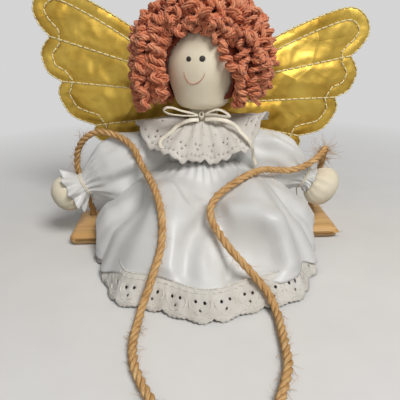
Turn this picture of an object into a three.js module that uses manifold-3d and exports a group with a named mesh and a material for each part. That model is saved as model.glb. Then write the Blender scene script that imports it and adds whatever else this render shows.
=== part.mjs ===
// Swing angel ornament: a stuffed doll with quilted wings, sitting on a wooden swing seat hung on twine.
// Millimetres, +X to the viewer's right, +Y to the back, +Z up.
// The origin is the centre of the seat's underside.
import * as THREE from "three";
import { mergeVertices } from "three/addons/utils/BufferGeometryUtils.js";
import Module from "manifold-3d";

const wasm = await Module();
wasm.setup();

// Fits that every piece shares
const clearance = 0.3; // between neighbouring pieces
const clothThickness = 1; // satin or lace with its turned edge

// Swing seat and its twine
const seatLength = 180;
const seatDepth = 44;
const seatThickness = 8;
const seatCornerRadius = 4;
const seatEdgeRadius = 1;
const twineDiameter = 4.5;
const twineHolePlay = 0.5; // around the twine
const twineHoleInset = 10; // from the seat's end
const twineHoleSetback = 12; // behind the seat's middle
const knotDiameter = 10.4;
const knotHeight = 4.4;
const knotPlay = 0.6; // around the knot in its pocket

// Stuffed body
const torsoHeight = 74;
const torsoHalfWidth = 26;
const torsoHalfDepth = 21.5;
const torsoSetback = 5; // behind the seat's middle
const neckRadius = 8;
const neckLean = 8; // the neck stands this far in front of the chest

// Stuffed legs, under the skirt
const hipSpread = 14;
const kneeSpread = 27;
const kneeReach = 56; // in front of the seat's middle
const kneeRise = 23; // above the seat
const footReach = 82; // in front of the seat's middle
const thighRadius = 11;
const ankleRadius = 8;

// Stuffed arms
const shoulderSpread = 20;
const shoulderDrop = 22; // below the top of the neck
const armRadius = 6.5;
const wristRadius = 5.5;
const handRadius = 10.6;
const handTall = 1.1; // the height of a hand against its width
const handForward = 6; // in front of the seat's middle
const handRise = 23.5; // above the seat
const leftHandOut = 11; // beyond the left twine hole
const rightHandOut = 0.5; // beyond the right twine hole
const elbowRise = 2; // above the straight line from shoulder to hand

// Head
const headHalfWidth = 21.5;
const headHalfDepth = 20.5;
const headHalfHeight = 27;
const headForward = 6; // in front of the seat's middle
const chinRise = 3.4; // above the neck's seam
const jawFullness = 0.5; // how much the chin is broader than an egg
const faceTurn = THREE.MathUtils.degToRad(-12); // the face looks a little to the viewer's left
const eyeDiameter = 2.8;
const eyeThickness = 0.8;
const eyeSpacing = 7.6;
const eyeRise = 4; // above the middle of the head

// Yarn hair
const curlRadius = 6.3;
const capThickness = 11;
const outerCurlLift = 18; // from the head to the outer curls' middle line
const faceHalfWidth = 18.5;
const faceHalfHeight = 24;
const faceDrop = 5; // the face opening's middle, below the middle of the head
const capDrop = 21; // the cap's edge and the curls beside the face, below the middle of the head
const leftCurlDrop = 30;
const rightCurlDrop = 23;

// Dress
const waistRise = 42; // above the seat
const necklineDrop = 7.3; // below the top of the neck
const hemGap = 0.6; // from the floor to the hem
const hemBeyondFeet = 30;
const hemShortOfTwine = 10; // at the sides, where the hem lies on the seat
const hemBehindTorso = 12.5;
const slopeAtKnees = 28; // height of the cloth at the knees if no legs raised it
const liftBesideKnees = 5; // and as deep a hollow under the sleeves
const laceHeight = 15;
const foldCount = 14;
const foldDepth = 1.6;
const sleevePuff = 19;
const sleeveDepth = 15;
const cuffRadius = 12;
const cuffLength = 5;
const tieThickness = 1.2;
const collarReach = 28;
const collarBelowNeck = 2.8;
const collarDrop = 22; // at the front
const collarRise = 3; // height of its ruffles at the edge
const ruffleCount = 9;

// Neck ribbon and bow
const ribbonDiameter = 2.4;
const ribbonPlay = 0.4; // around the neck
const bowKnotRadius = 2.6;
const bowRise = 1; // above the ribbon

// Wings
const wingReach = 115; // from the hinge to the tip
const wingInset = 0.4; // the root lies beside the rearmost line of the back
const wingHingeSpread = 3;
const wingRootDrop = 7.3; // from the top of the neck to where the lobes' seams meet
const wingSweep = THREE.MathUtils.degToRad(8);
const wingTilt = THREE.MathUtils.degToRad(4.5); // the pair leans over to the viewer's right
const wingCloth = 0.8;
const wingCore = 1.6;

// Facets
const torsoSides = 24;
const skirtSides = 40;
const skirtRows = 9;
const laceRows = 2;
const collarSides = 45;
const collarRowCount = 4;
const limbSides = 12;
const curlSides = 7;
const twineSteps = 64;
const bowSteps = 16;

// Places that follow from the sizes above
const seatTop = seatThickness;
const torsoBottom = seatTop + clearance;
const torsoTop = torsoBottom + torsoHeight;
const neckY = torsoSetback - neckLean;
const twineHoleX = seatLength / 2 - twineHoleInset;
const kneeHeight = seatTop + kneeRise;
const waistHeight = seatTop + waistRise;
const bodiceTop = torsoTop - necklineDrop;
const collarNeckHeight = torsoTop - collarBelowNeck;
const handHeight = seatTop + handRise;
const leftHand = new THREE.Vector3(-twineHoleX - leftHandOut, -handForward, handHeight);
const rightHand = new THREE.Vector3(twineHoleX + rightHandOut, -handForward, handHeight);
const headBottom = torsoTop + clearance;
const headCenter = new THREE.Vector3(0, -headForward, headBottom + chinRise + headHalfHeight);
const wingRootHeight = torsoTop - wingRootDrop;
const wingThickness = 2 * wingCloth + wingCore + 2 * clearance;

const material = (color, roughness, metalness = 0) =>
  new THREE.MeshStandardMaterial({ color, roughness, metalness });
const looks = {
  pine: () => material(0xcf9f5c, 0.6),
  twine: () => material(0xb98a4e, 0.9),
  muslin: () => material(0xe6dcc2, 0.85),
  satin: () => material(0xf2f1f0, 0.35),
  lace: () => material(0xefeae2, 0.8),
  ribbon: () => material(0xe8e2d4, 0.6),
  yarn: () => material(0xb0552f, 0.9),
  bead: () => material(0x241a18, 0.4),
  lame: () => material(0xb8913a, 0.35, 0.8),
  batting: () => material(0xf0eee6, 0.95),
};

const group = new THREE.Group();

function addPart(name, geometry, look) {
  const mesh = new THREE.Mesh(geometry, looks[look]());
  mesh.name = name;
  group.add(mesh);
}

// Solids in and out of the boolean library

function solidOf(geometry) {
  const bare = new THREE.BufferGeometry();
  bare.setAttribute("position", geometry.getAttribute("position").clone());
  if (geometry.index) bare.setIndex(geometry.index.clone());
  const merged = mergeVertices(bare, 1e-4);
  const mesh = { numProp: 3, vertProperties: merged.attributes.position.array, triVerts: merged.index.array };
  return new wasm.Manifold(new wasm.Mesh(mesh));
}

function geometryOf(solid) {
  const mesh = solid.getMesh();
  const geometry = new THREE.BufferGeometry();
  geometry.setAttribute("position", new THREE.BufferAttribute(new Float32Array(mesh.vertProperties), 3));
  geometry.setIndex(new THREE.BufferAttribute(new Uint32Array(mesh.triVerts), 1));
  return geometry;
}

const unionOf = (solids) => solids.reduce((joined, next) => joined.add(next));

// Closed skins through rings of points

function signedVolume(points, faces) {
  const [a, b, c] = [0, 1, 2].map(() => new THREE.Vector3());
  let volume = 0;
  for (let i = 0; i < faces.length; i += 3) {
    a.copy(points[faces[i]]);
    b.copy(points[faces[i + 1]]);
    c.copy(points[faces[i + 2]]);
    volume += a.dot(b.cross(c)) / 6;
  }
  return volume;
}

function skinGeometry(points, faces) {
  const outward = signedVolume(points, faces) > 0 ? faces : faces.slice().reverse();
  const geometry = new THREE.BufferGeometry().setFromPoints(points);
  geometry.setIndex(outward);
  return geometry;
}

function bandFaces(first, second, count) {
  const faces = [];
  for (let i = 0; i < count; i++) {
    const j = (i + 1) % count;
    faces.push(first + i, first + j, second + i, first + j, second + j, second + i);
  }
  return faces;
}

// A body through a row of rings, closed by a fan at each end.
function loft(rings) {
  const count = rings[0].length;
  const points = rings.flat();
  const faces = [];
  for (let row = 0; row + 1 < rings.length; row++) {
    faces.push(...bandFaces(row * count, (row + 1) * count, count));
  }
  for (const row of [0, rings.length - 1]) {
    const middle = rings[row].reduce((sum, p) => sum.add(p), new THREE.Vector3()).divideScalar(count);
    points.push(middle);
    for (let i = 0; i < count; i++) {
      const [a, b] = [row * count + i, row * count + ((i + 1) % count)];
      faces.push(...(row === 0 ? [b, a] : [a, b]), points.length - 1);
    }
  }
  return skinGeometry(points, faces);
}

// A wall between an outer and an inner row of rings, closed at both rims.
function wall(outer, inner) {
  const rings = [...outer, ...inner.slice().reverse()];
  const count = rings[0].length;
  const faces = [];
  for (let row = 0; row < rings.length; row++) {
    const next = (row + 1) % rings.length;
    faces.push(...bandFaces(row * count, next * count, count));
  }
  return skinGeometry(rings.flat(), faces);
}

// Value at t in rows of [place, value, ...], straight between rows.
function readRows(rows, t) {
  let k = 0;
  while (k < rows.length - 2 && t > rows[k + 1][0]) k++;
  const share = THREE.MathUtils.clamp((t - rows[k][0]) / (rows[k + 1][0] - rows[k][0]), 0, 1);
  return rows[k].map((value, i) => THREE.MathUtils.lerp(value, rows[k + 1][i], share));
}

// Value at an angle in degrees from the front, in rows that hold for both sides, eased between rows.
function readAround(rows, angle) {
  const turn = Math.abs(THREE.MathUtils.euclideanModulo(angle + 180, 360) - 180);
  let k = 0;
  while (k < rows.length - 2 && turn > rows[k + 1][0]) k++;
  const share = THREE.MathUtils.smoothstep(turn, rows[k][0], rows[k + 1][0]);
  return THREE.MathUtils.lerp(rows[k][1], rows[k + 1][1], share);
}

// A round or oval tube along a path of points, with [share, half height, half depth] rows for its sections.
function limbRings(path, rows, sides, grow = 0, reference = new THREE.Vector3(0, 0, 1)) {
  const curve = new THREE.CatmullRomCurve3(path, false, "centripetal");
  return rows.map(([share, high, deep]) => {
    const middle = curve.getPoint(share);
    const along = curve.getTangent(share);
    const up = reference.clone().addScaledVector(along, -along.dot(reference)).normalize();
    const across = new THREE.Vector3().crossVectors(along, up);
    return Array.from({ length: sides }, (_, i) => {
      const angle = (2 * Math.PI * i) / sides;
      return middle
        .clone()
        .addScaledVector(up, (high + grow) * Math.cos(angle))
        .addScaledVector(across, (deep + grow) * Math.sin(angle));
    });
  });
}

function cordGeometry(points, diameter, steps) {
  const section = new THREE.Shape().absarc(0, 0, diameter / 2, 0, 2 * Math.PI);
  const path = new THREE.CatmullRomCurve3(points, false, "centripetal");
  return new THREE.ExtrudeGeometry(section, { steps, extrudePath: path, curveSegments: 4 });
}

function ball(center, x, y, z, sides = 16, rows = 10) {
  return new THREE.SphereGeometry(1, sides, rows)
    .rotateX(Math.PI / 2)
    .scale(x, y, z)
    .translate(...center.toArray());
}

// Swing seat

function seatBoard() {
  const [halfLength, halfDepth, corner] = [seatLength / 2, seatDepth / 2, seatCornerRadius];
  const outline = new THREE.Shape();
  outline.moveTo(-halfLength + corner, -halfDepth);
  outline.absarc(halfLength - corner, -halfDepth + corner, corner, -Math.PI / 2, 0);
  outline.absarc(halfLength - corner, halfDepth - corner, corner, 0, Math.PI / 2);
  outline.absarc(-halfLength + corner, halfDepth - corner, corner, Math.PI / 2, Math.PI);
  outline.absarc(-halfLength + corner, -halfDepth + corner, corner, Math.PI, 1.5 * Math.PI);
  const board = new THREE.ExtrudeGeometry(outline, {
    depth: seatThickness - 2 * seatEdgeRadius,
    bevelThickness: seatEdgeRadius,
    bevelSize: seatEdgeRadius,
    bevelOffset: -seatEdgeRadius,
    bevelSegments: 1,
    curveSegments: 2,
  }).translate(0, 0, seatEdgeRadius);
  return board;
}

function upright(diameter, height, x, y, bottom) {
  return new THREE.CylinderGeometry(diameter / 2, diameter / 2, height, 12)
    .rotateX(Math.PI / 2)
    .translate(x, y, bottom + height / 2);
}

const knotPocketDepth = knotHeight + 2 * clearance;

function drilledSeat() {
  let seat = solidOf(seatBoard());
  for (const side of [-1, 1]) {
    const x = side * twineHoleX;
    const bore = upright(twineDiameter + 2 * twineHolePlay, seatThickness + 2, x, twineHoleSetback, -1);
    const pocket = upright(knotDiameter + 2 * knotPlay, knotPocketDepth + 1, x, twineHoleSetback, -1);
    seat = seat.subtract(solidOf(bore)).subtract(solidOf(pocket));
  }
  return geometryOf(seat);
}

function twineKnot(side) {
  const middle = new THREE.Vector3(side * twineHoleX, twineHoleSetback, clearance + knotHeight / 2);
  return ball(middle, knotDiameter / 2, knotDiameter / 2, knotHeight / 2, 10, 6);
}

// Stuffed torso and the bodice over it

const chestHalfDepth = 0.95 * torsoHalfDepth;

// Rows of share of height, half width, half depth, share of the neck's lean.
const torsoRows = [
  [0, 0.74 * torsoHalfWidth, 0.72 * torsoHalfDepth, 0],
  [0.07, 0.95 * torsoHalfWidth, 0.92 * torsoHalfDepth, 0],
  [0.2, torsoHalfWidth, 0.98 * torsoHalfDepth, 0],
  [0.38, 0.92 * torsoHalfWidth, 0.94 * torsoHalfDepth, 0],
  [0.55, 0.84 * torsoHalfWidth, chestHalfDepth, 0],
  [0.7, 0.84 * torsoHalfWidth, chestHalfDepth, 0.05],
  [0.8, 0.72 * torsoHalfWidth, 0.8 * torsoHalfDepth, 0.3],
  [0.89, 0.5 * torsoHalfWidth, 0.54 * torsoHalfDepth, 0.7],
  [0.95, neckRadius, neckRadius, 1],
  [1, neckRadius, neckRadius, 1],
];

function torsoRing(height, grow = 0) {
  const [, width, depth, lean] = readRows(torsoRows, (height - torsoBottom) / torsoHeight);
  const y = torsoSetback - lean * neckLean;
  return Array.from({ length: torsoSides }, (_, i) => {
    const angle = (2 * Math.PI * i) / torsoSides;
    return new THREE.Vector3((width + grow) * Math.sin(angle), y - (depth + grow) * Math.cos(angle), height);
  });
}

const torsoHeights = torsoRows.map(([share]) => torsoBottom + share * torsoHeight);
const torsoGeometry = (grow = 0) => loft(torsoHeights.map((height) => torsoRing(height, grow)));

const bodiceInner = clearance;
const bodiceOuter = clearance + clothThickness;
const betweenHems = torsoHeights.filter((height) => height > waistHeight && height < bodiceTop);
const bodiceHeights = [waistHeight, ...betweenHems, bodiceTop];
const bodiceRings = (grow) => bodiceHeights.map((height) => torsoRing(height, grow));

// Skirt: rows of [degrees from the front, reach of the hem] and [degrees from the front, lift over the legs]

const hemFront = footReach + hemBeyondFeet;
const hemSide = twineHoleX - hemShortOfTwine;
const hemReach = [
  [0, hemFront],
  [26, 0.946 * hemFront],
  [40, 0.857 * hemFront],
  [50, 1.186 * hemSide],
  [66, 1.114 * hemSide],
  [80, 1.014 * hemSide],
  [106, hemSide],
  [128, 0.714 * hemSide],
  [180, torsoHalfDepth + hemBehindTorso],
];
const legLift = [
  [0, 0.2 * liftBesideKnees],
  [27, kneeHeight + thighRadius - slopeAtKnees],
  [60, liftBesideKnees],
  [90, -liftBesideKnees],
  [180, 0.2 * liftBesideKnees],
];
const seatOverhang = 6; // the hem keeps the seat's height this far past its edge
const skirtSlope = 1.5; // above 1 the cloth falls more steeply towards the hem

function waistReach(angle) {
  const [, width, depth] = readRows(torsoRows, (waistHeight - torsoBottom) / torsoHeight);
  const grow = bodiceOuter + clearance + clothThickness;
  return 1 / Math.hypot(Math.sin(angle) / (width + grow), Math.cos(angle) / (depth + grow));
}

// The hem lies on the floor, and on the seat where it crosses the seat.
function hemHeight(x, y) {
  const outside = Math.max(Math.abs(x) - seatLength / 2, Math.abs(y) - seatDepth / 2, 0);
  const onSeat = 1 - THREE.MathUtils.smoothstep(outside, seatOverhang, seatOverhang + seatThickness);
  return hemGap + onSeat * (seatTop + clearance);
}

function skirtPoint(angle, t) {
  const degrees = THREE.MathUtils.radToDeg(angle);
  const fold = foldDepth * t * t * Math.cos(foldCount * angle + 0.6);
  const reach = THREE.MathUtils.lerp(waistReach(angle), readAround(hemReach, degrees), t) + fold;
  const [x, y] = [reach * Math.sin(angle), torsoSetback - reach * Math.cos(angle)];
  const hem = hemHeight(x, y);
  const lift = readAround(legLift, degrees) * Math.sin(Math.PI * t) ** 2;
  return new THREE.Vector3(x, y, hem + (waistHeight - hem) * (1 - t ** skirtSlope) + lift);
}

function skirtNormal(angle, t) {
  const step = 1e-3;
  const around = skirtPoint(angle + step, t).sub(skirtPoint(angle - step, t));
  const down = skirtPoint(angle, t + step).sub(skirtPoint(angle, t - step));
  return down.cross(around).normalize();
}

// The skirt's surface moved in by a depth, no lower than the hem.
function skirtInner(angle, t, depth) {
  const outer = skirtPoint(angle, t);
  const moved = outer.clone().addScaledVector(skirtNormal(angle, Math.max(t, 1e-2)), -depth);
  moved.z = Math.max(moved.z, Math.min(outer.z, hemHeight(moved.x, moved.y)));
  if (t === 0) moved.z = outer.z;
  return moved;
}

function fallLength(angle) {
  const steps = 24;
  let length = 0;
  for (let i = 0; i < steps; i++) {
    length += skirtPoint(angle, i / steps).distanceTo(skirtPoint(angle, (i + 1) / steps));
  }
  return length;
}

const seamShare = (angle) => 1 - laceHeight / fallLength(angle);
const seamGap = (angle) => clearance / fallLength(angle);

function clothRings(rows, shareAt, depth) {
  return Array.from({ length: rows + 1 }, (_, row) =>
    Array.from({ length: skirtSides }, (_, i) => {
      const angle = (2 * Math.PI * i) / skirtSides;
      return skirtInner(angle, shareAt(angle, row / rows), depth);
    }),
  );
}

const satinShare = (angle, t) => t * (seamShare(angle) - seamGap(angle));
const laceShare = (angle, t) => THREE.MathUtils.lerp(seamShare(angle), 1, t);
const fullShare = (angle, t) => t;
const skirtGeometry = () =>
  wall(clothRings(skirtRows, satinShare, 0), clothRings(skirtRows, satinShare, clothThickness));
const laceGeometry = () =>
  wall(clothRings(laceRows, laceShare, 0), clothRings(laceRows, laceShare, clothThickness));
const skirtBody = (depth) => solidOf(loft(clothRings(skirtRows, fullShare, depth)));

// Legs, cut to lie inside the skirt, on the seat and in front of the torso

function leg(side, keepIn, keepOut) {
  const midSpread = 0.5 * (hipSpread + kneeSpread);
  const path = [
    new THREE.Vector3(side * hipSpread, torsoSetback - torsoHalfDepth / 2, seatTop + thighRadius + clearance),
    new THREE.Vector3(side * midSpread, -0.57 * kneeReach, kneeHeight - 0.27 * thighRadius),
    new THREE.Vector3(side * kneeSpread, -kneeReach, kneeHeight),
    new THREE.Vector3(side * 1.04 * kneeSpread, -0.5 * (kneeReach + footReach), 0.63 * kneeHeight),
    new THREE.Vector3(side * 1.07 * kneeSpread, -footReach, 1.12 * ankleRadius),
  ];
  const rows = [
    [0, 0.6 * thighRadius, 0.6 * thighRadius],
    [0.06, 0.9 * thighRadius, 0.9 * thighRadius],
    [0.25, thighRadius, thighRadius],
    [0.5, 0.95 * thighRadius, 0.95 * thighRadius],
    [0.75, ankleRadius, ankleRadius],
    [0.94, ankleRadius, ankleRadius],
    [1, 0.6 * ankleRadius, 0.6 * ankleRadius],
  ];
  return geometryOf(solidOf(loft(limbRings(path, rows, limbSides))).intersect(keepIn).subtract(keepOut));
}

// Arms with ball hands, and the puffed sleeves gathered round the wrists

function armPath(hand) {
  const side = Math.sign(hand.x);
  const shoulder = new THREE.Vector3(side * shoulderSpread, torsoSetback, torsoTop - shoulderDrop);
  const elbow = shoulder.clone().lerp(hand, 0.5);
  elbow.z += elbowRise;
  const back = elbow.clone().sub(hand).normalize();
  const wrist = hand.clone().addScaledVector(back, handRadius + 2);
  return { shoulder, elbow, wrist, hand, back };
}

function armSolid({ shoulder, elbow, wrist, hand }, grow = 0) {
  const rows = [
    [0, armRadius, armRadius],
    [0.5, armRadius, armRadius],
    [0.85, wristRadius, wristRadius],
    [1, wristRadius, wristRadius],
  ];
  const tube = solidOf(loft(limbRings([shoulder, elbow, wrist, hand], rows, limbSides, grow)));
  const palm = handRadius + grow;
  return tube.add(solidOf(ball(hand, palm, palm, handTall * palm, 14, 9)));
}

function sleeveSolid({ shoulder, elbow, wrist, back }) {
  const cuffEnd = wrist.clone().addScaledVector(back, -cuffLength);
  const gathered = wristRadius + clearance + clothThickness;
  const rows = [
    [0, 0.66 * sleevePuff, 0.8 * sleeveDepth],
    [0.2, 0.85 * sleevePuff, 0.95 * sleeveDepth],
    [0.4, sleevePuff, sleeveDepth],
    [0.6, 0.92 * sleevePuff, 0.9 * sleeveDepth],
    [0.76, 0.66 * sleevePuff, 0.7 * sleeveDepth],
    [0.86, gathered, gathered],
    [0.9, gathered, gathered],
    [1, cuffRadius, cuffRadius],
  ];
  const path = [shoulder, elbow, wrist, cuffEnd];
  return solidOf(wall(limbRings(path, rows, limbSides), limbRings(path, rows, limbSides, -clothThickness)));
}

function wristTie({ shoulder, elbow, wrist, back }) {
  const cuffEnd = wrist.clone().addScaledVector(back, -cuffLength);
  const curve = new THREE.CatmullRomCurve3([shoulder, elbow, wrist, cuffEnd], false, "centripetal");
  const radius = wristRadius + clothThickness + 3 * clearance + tieThickness / 2;
  const turn = new THREE.Quaternion().setFromUnitVectors(new THREE.Vector3(0, 0, 1), curve.getTangent(0.88));
  return new THREE.TorusGeometry(radius, tieThickness / 2, 5, 14)
    .applyQuaternion(turn)
    .translate(...curve.getPoint(0.88).toArray());
}

// Lace collar, ruffled from the neck to its edge

const collarEdge = [
  [0, 0],
  [50, 5],
  [95, 12],
  [135, 3],
  [180, -4],
];
const collarFall = [
  [0, 1],
  [45, 0.8],
  [90, 0.2],
  [180, 0.35],
];

function collarPoint(angle, t) {
  const degrees = THREE.MathUtils.radToDeg(angle);
  const neck = neckRadius + clearance + clothThickness + 2.5;
  const reach = THREE.MathUtils.lerp(neck, collarReach + readAround(collarEdge, degrees), t);
  const ruffle = collarRise * t * Math.cos(ruffleCount * angle + 0.9);
  const fall = collarDrop * readAround(collarFall, degrees) * t ** 1.4;
  const height = collarNeckHeight - fall + ruffle;
  return new THREE.Vector3(reach * Math.sin(angle), neckY - reach * Math.cos(angle), height);
}

function collarRings(depth) {
  return Array.from({ length: collarRowCount + 1 }, (_, row) =>
    Array.from({ length: collarSides }, (_, i) => {
      const point = collarPoint((2 * Math.PI * i) / collarSides, row / collarRowCount);
      point.z -= depth;
      return point;
    }),
  );
}

// Neck ribbon and its bow

const ribbonRadius = neckRadius + ribbonPlay + ribbonDiameter / 2;
const ribbonHeight = collarNeckHeight + clearance + collarRise / 2 + ribbonDiameter / 2;
const bowKnotDepth = 0.7 * bowKnotRadius;
const bowKnotY = neckY - ribbonRadius - ribbonDiameter / 2 - clearance - bowKnotDepth;
const bowKnotMiddle = new THREE.Vector3(-1, bowKnotY, ribbonHeight + bowRise);

function neckRibbon() {
  return new THREE.TorusGeometry(ribbonRadius, ribbonDiameter / 2, 6, 20).translate(0, neckY, ribbonHeight);
}

const onBow = (...offset) => new THREE.Vector3(...offset).add(bowKnotMiddle);
const bowGap = bowKnotRadius + clearance + 0.4;
const bowLoops = {
  bow_left_loop: [
    onBow(-bowGap, -0.4, 0.4), onBow(-11.9, -2.6, 3.6), onBow(-17.8, -4.1, 5.8),
    onBow(-22.6, -5.2, 5), onBow(-20.3, -5.8, 1.8), onBow(-13.2, -4.6, 0.2),
  ],
  bow_right_loop: [
    onBow(bowGap, -0.4, 0.4), onBow(8.6, -2.6, 3.8), onBow(12.9, -3.6, 3.4), onBow(17, -4.8, 0.8),
  ],
};
const bowTails = {
  bow_left_tail: [
    onBow(-1.9, -1.2, -2.3), onBow(-7.5, -2.6, -2.4), onBow(-14.8, -0.5, -5.8), onBow(-19.3, -2, -9.7),
    onBow(-22.8, -2.2, -12), onBow(-25.7, -3.1, -14.4), onBow(-25, -8.9, -17.6),
  ],
  bow_right_tail: [
    onBow(1.9, -1.2, -2.3), onBow(8.5, -4.6, -1.6), onBow(15.7, -5.2, -3), onBow(20.7, -4.2, -6.2),
    onBow(24, -5.6, -10), onBow(28.3, -8.2, -14.4), onBow(30.6, -7.2, -19.4), onBow(32.5, 0, -27),
    onBow(34.7, 0.8, -33),
  ],
};

// Head, eyes and yarn hair

function headGeometry(grow = 0) {
  const geometry = new THREE.SphereGeometry(1, 20, 14).rotateX(Math.PI / 2);
  const position = geometry.getAttribute("position");
  for (let i = 0; i < position.count; i++) {
    const z = position.getZ(i);
    const broad = 1 + jawFullness * Math.max(0, -z) ** 6;
    position.setXYZ(
      i,
      position.getX(i) * (headHalfWidth * broad + grow),
      position.getY(i) * (headHalfDepth * broad + grow),
      z * (headHalfHeight + grow),
    );
  }
  return geometry.translate(...headCenter.toArray());
}

function headSolid(grow = 0) {
  const neck = upright(2 * (neckRadius + grow), headCenter.z - headBottom, 0, neckY, headBottom);
  return solidOf(headGeometry(grow)).add(solidOf(neck));
}

function eye(side) {
  const angle = faceTurn + (side * eyeSpacing) / 2 / headHalfDepth;
  const round = Math.sqrt(1 - (eyeRise / headHalfHeight) ** 2);
  const stand = clearance + eyeThickness / 2;
  const outward = new THREE.Vector3(Math.sin(angle), -Math.cos(angle), 0);
  const middle = headCenter.clone().add(
    new THREE.Vector3(
      (headHalfWidth * round + stand) * outward.x,
      (headHalfDepth * round + stand) * outward.y,
      eyeRise,
    ),
  );
  return new THREE.SphereGeometry(1, 10, 6)
    .rotateX(Math.PI / 2)
    .scale(eyeDiameter / 2, eyeThickness / 2, eyeDiameter / 2)
    .rotateZ(angle)
    .translate(...middle.toArray());
}

// A point over the head at an azimuth from the front and a polar angle from the crown, in degrees.
function overHead(azimuth, polar, lift) {
  const [turn, down] = [azimuth, polar].map(THREE.MathUtils.degToRad);
  return headCenter
    .clone()
    .add(
      new THREE.Vector3(
        (headHalfWidth + lift) * Math.sin(down) * Math.sin(turn),
        -(headHalfDepth + lift) * Math.sin(down) * Math.cos(turn),
        (headHalfHeight + lift - 3) * Math.cos(down),
      ),
    );
}

const curlRows = (radius) => [
  [0, 0.55 * radius, 0.55 * radius],
  [0.12, radius, radius],
  [0.37, radius, radius],
  [0.63, radius, radius],
  [0.88, radius, radius],
  [1, 0.55 * radius, 0.55 * radius],
];

function curlSolid(path, radius, reference) {
  return solidOf(loft(limbRings(path, curlRows(radius), curlSides, 0, reference)));
}

function aroundHead(azimuth) {
  const turn = THREE.MathUtils.degToRad(azimuth);
  return new THREE.Vector3(Math.cos(turn), Math.sin(turn), 0);
}

// A curl that follows the head from a polar angle to its widest line and hangs from there to a height.
function sideCurl(azimuth, drop, grow) {
  const path = [46, 68, 90].map((polar) => overHead(azimuth, polar, outerCurlLift));
  path.push(path[2].clone().setZ(headCenter.z - drop));
  return curlSolid(path, curlRadius + grow, aroundHead(azimuth));
}

function crownCurl(azimuth, grow) {
  const end = azimuth === 0 ? 24 : 44;
  const path = [3, 0.5 * end, end].map((polar) => overHead(azimuth, polar, outerCurlLift));
  return curlSolid(path, curlRadius + grow, aroundHead(azimuth));
}

const sideAzimuths = [58, 78, 98, 117];
const crownAzimuths = [0, 45, 90, 135, 180, 225, 270, 315];
const besideFace = (azimuth, drop) => (azimuth === sideAzimuths[0] ? capDrop : drop);
const curlGroups = {
  hair_left: (grow) => unionOf(sideAzimuths.map((a) => sideCurl(-a, besideFace(a, leftCurlDrop), grow))),
  hair_right: (grow) => unionOf(sideAzimuths.map((a) => sideCurl(a, besideFace(a, rightCurlDrop), grow))),
  hair_crown: (grow) => unionOf(crownAzimuths.map((a) => crownCurl(a, grow))),
};

function fringeSolid(grow) {
  const lift = capThickness + curlRadius / 2;
  const path = [-52, -18, 18, 52].map((azimuth) => overHead(azimuth, 40 + 0.14 * Math.abs(azimuth), lift));
  return curlSolid(path, curlRadius + grow);
}

function hairCap() {
  const far = 200;
  const face = new THREE.CylinderGeometry(1, 1, far, 24)
    .scale(faceHalfWidth, 1, faceHalfHeight)
    .translate(headCenter.x - 1, headCenter.y - far / 2 + 2, headCenter.z - faceDrop);
  const below = new THREE.BoxGeometry(far, far, far).translate(0, 0, headCenter.z - capDrop - far / 2);
  return solidOf(headGeometry(capThickness))
    .subtract(headSolid(clearance))
    .subtract(solidOf(face))
    .subtract(solidOf(below));
}

function addHair() {
  let taken = solidOf(headGeometry(capThickness + clearance));
  addPart("hair_cap", geometryOf(hairCap()), "yarn");
  const groups = { ...curlGroups, hair_fringe: fringeSolid };
  for (const [name, make] of Object.entries(groups)) {
    addPart(name, geometryOf(make(0).subtract(taken)), "yarn");
    taken = taken.add(make(clearance));
  }
}

// Wings: an outline of lobes between notches. Points are in hundredths of the reach,
// out from the hinge and up from the root.

const at = (out, up) => new THREE.Vector2(out, up).multiplyScalar(wingReach / 100);
const wingNotches = [at(90.4, 40), at(84.3, 14.3), at(63.5, -11.3)];
const wingLobes = [
  [
    at(15.7, 32.2), at(36.5, 46.1), at(62.6, 59.6), at(84.3, 67.4),
    at(95.7, 63.5), at(100, 54.8), at(96.5, 46.1),
  ],
  [at(94.8, 34.8), at(96.5, 28.7), at(93, 19.1)],
  [at(87, 8.7), at(85.2, 1.7), at(78.3, -7)],
  [at(65.2, -16.5), at(60.9, -20.9), at(50.4, -21.7)],
];
const wingRootTop = 0.217 * wingReach;
const wingRootBottom = -0.174 * wingReach;
const wingInnerEdge = 0.8; // from the hinge line

// A point of the root's edge, which stays upright however the wing tilts.
function rootPoint(side, up) {
  return new THREE.Vector2((wingInnerEdge - up * Math.sin(side * wingTilt)) / Math.cos(wingTilt), up);
}

function wingOutline(side) {
  const shape = new THREE.Shape();
  const [bottom, top] = [wingRootBottom, wingRootTop].map((up) => rootPoint(side, up));
  shape.moveTo(bottom.x, bottom.y);
  shape.lineTo(top.x, top.y);
  wingLobes.forEach((lobe, i) => {
    const end = wingNotches[i] ?? bottom.clone().add(at(5, -1.7));
    shape.splineThru([...lobe, end]);
  });
  return shape.getPoints(2);
}

function insetOutline(points, depth) {
  const ring = points.filter((p, i) => p.distanceTo(points[(i + 1) % points.length]) > 1e-3);
  const clockwise = THREE.ShapeUtils.isClockWise(ring) ? -1 : 1;
  return ring.map((p, i) => {
    const before = ring[(i + ring.length - 1) % ring.length];
    const after = ring[(i + 1) % ring.length];
    const along = after.clone().sub(before).normalize();
    return p.clone().add(new THREE.Vector2(-along.y, along.x).multiplyScalar(depth * clockwise));
  });
}

// A flat layer of a wing between two depths behind its front face, standing upright at its hinge.
function wingLayer(points, side, front, depth) {
  const hinge = new THREE.Vector3(side * wingHingeSpread, wingHingeY, wingRootHeight);
  const layer = new THREE.ExtrudeGeometry(new THREE.Shape(points), { depth, bevelEnabled: false })
    .translate(0, 0, -front - depth + wingThickness / 2)
    .rotateX(Math.PI / 2)
    .rotateY(side * wingTilt)
    .rotateZ(wingSweep);
  const solid = solidOf(layer);
  const placed = side < 0 ? solid.mirror([1, 0, 0]) : solid;
  return placed.translate(hinge.toArray());
}

const chestBack = torsoSetback + chestHalfDepth + bodiceOuter;
const wingHingeY = chestBack - wingInset + wingThickness / 2;

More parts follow.
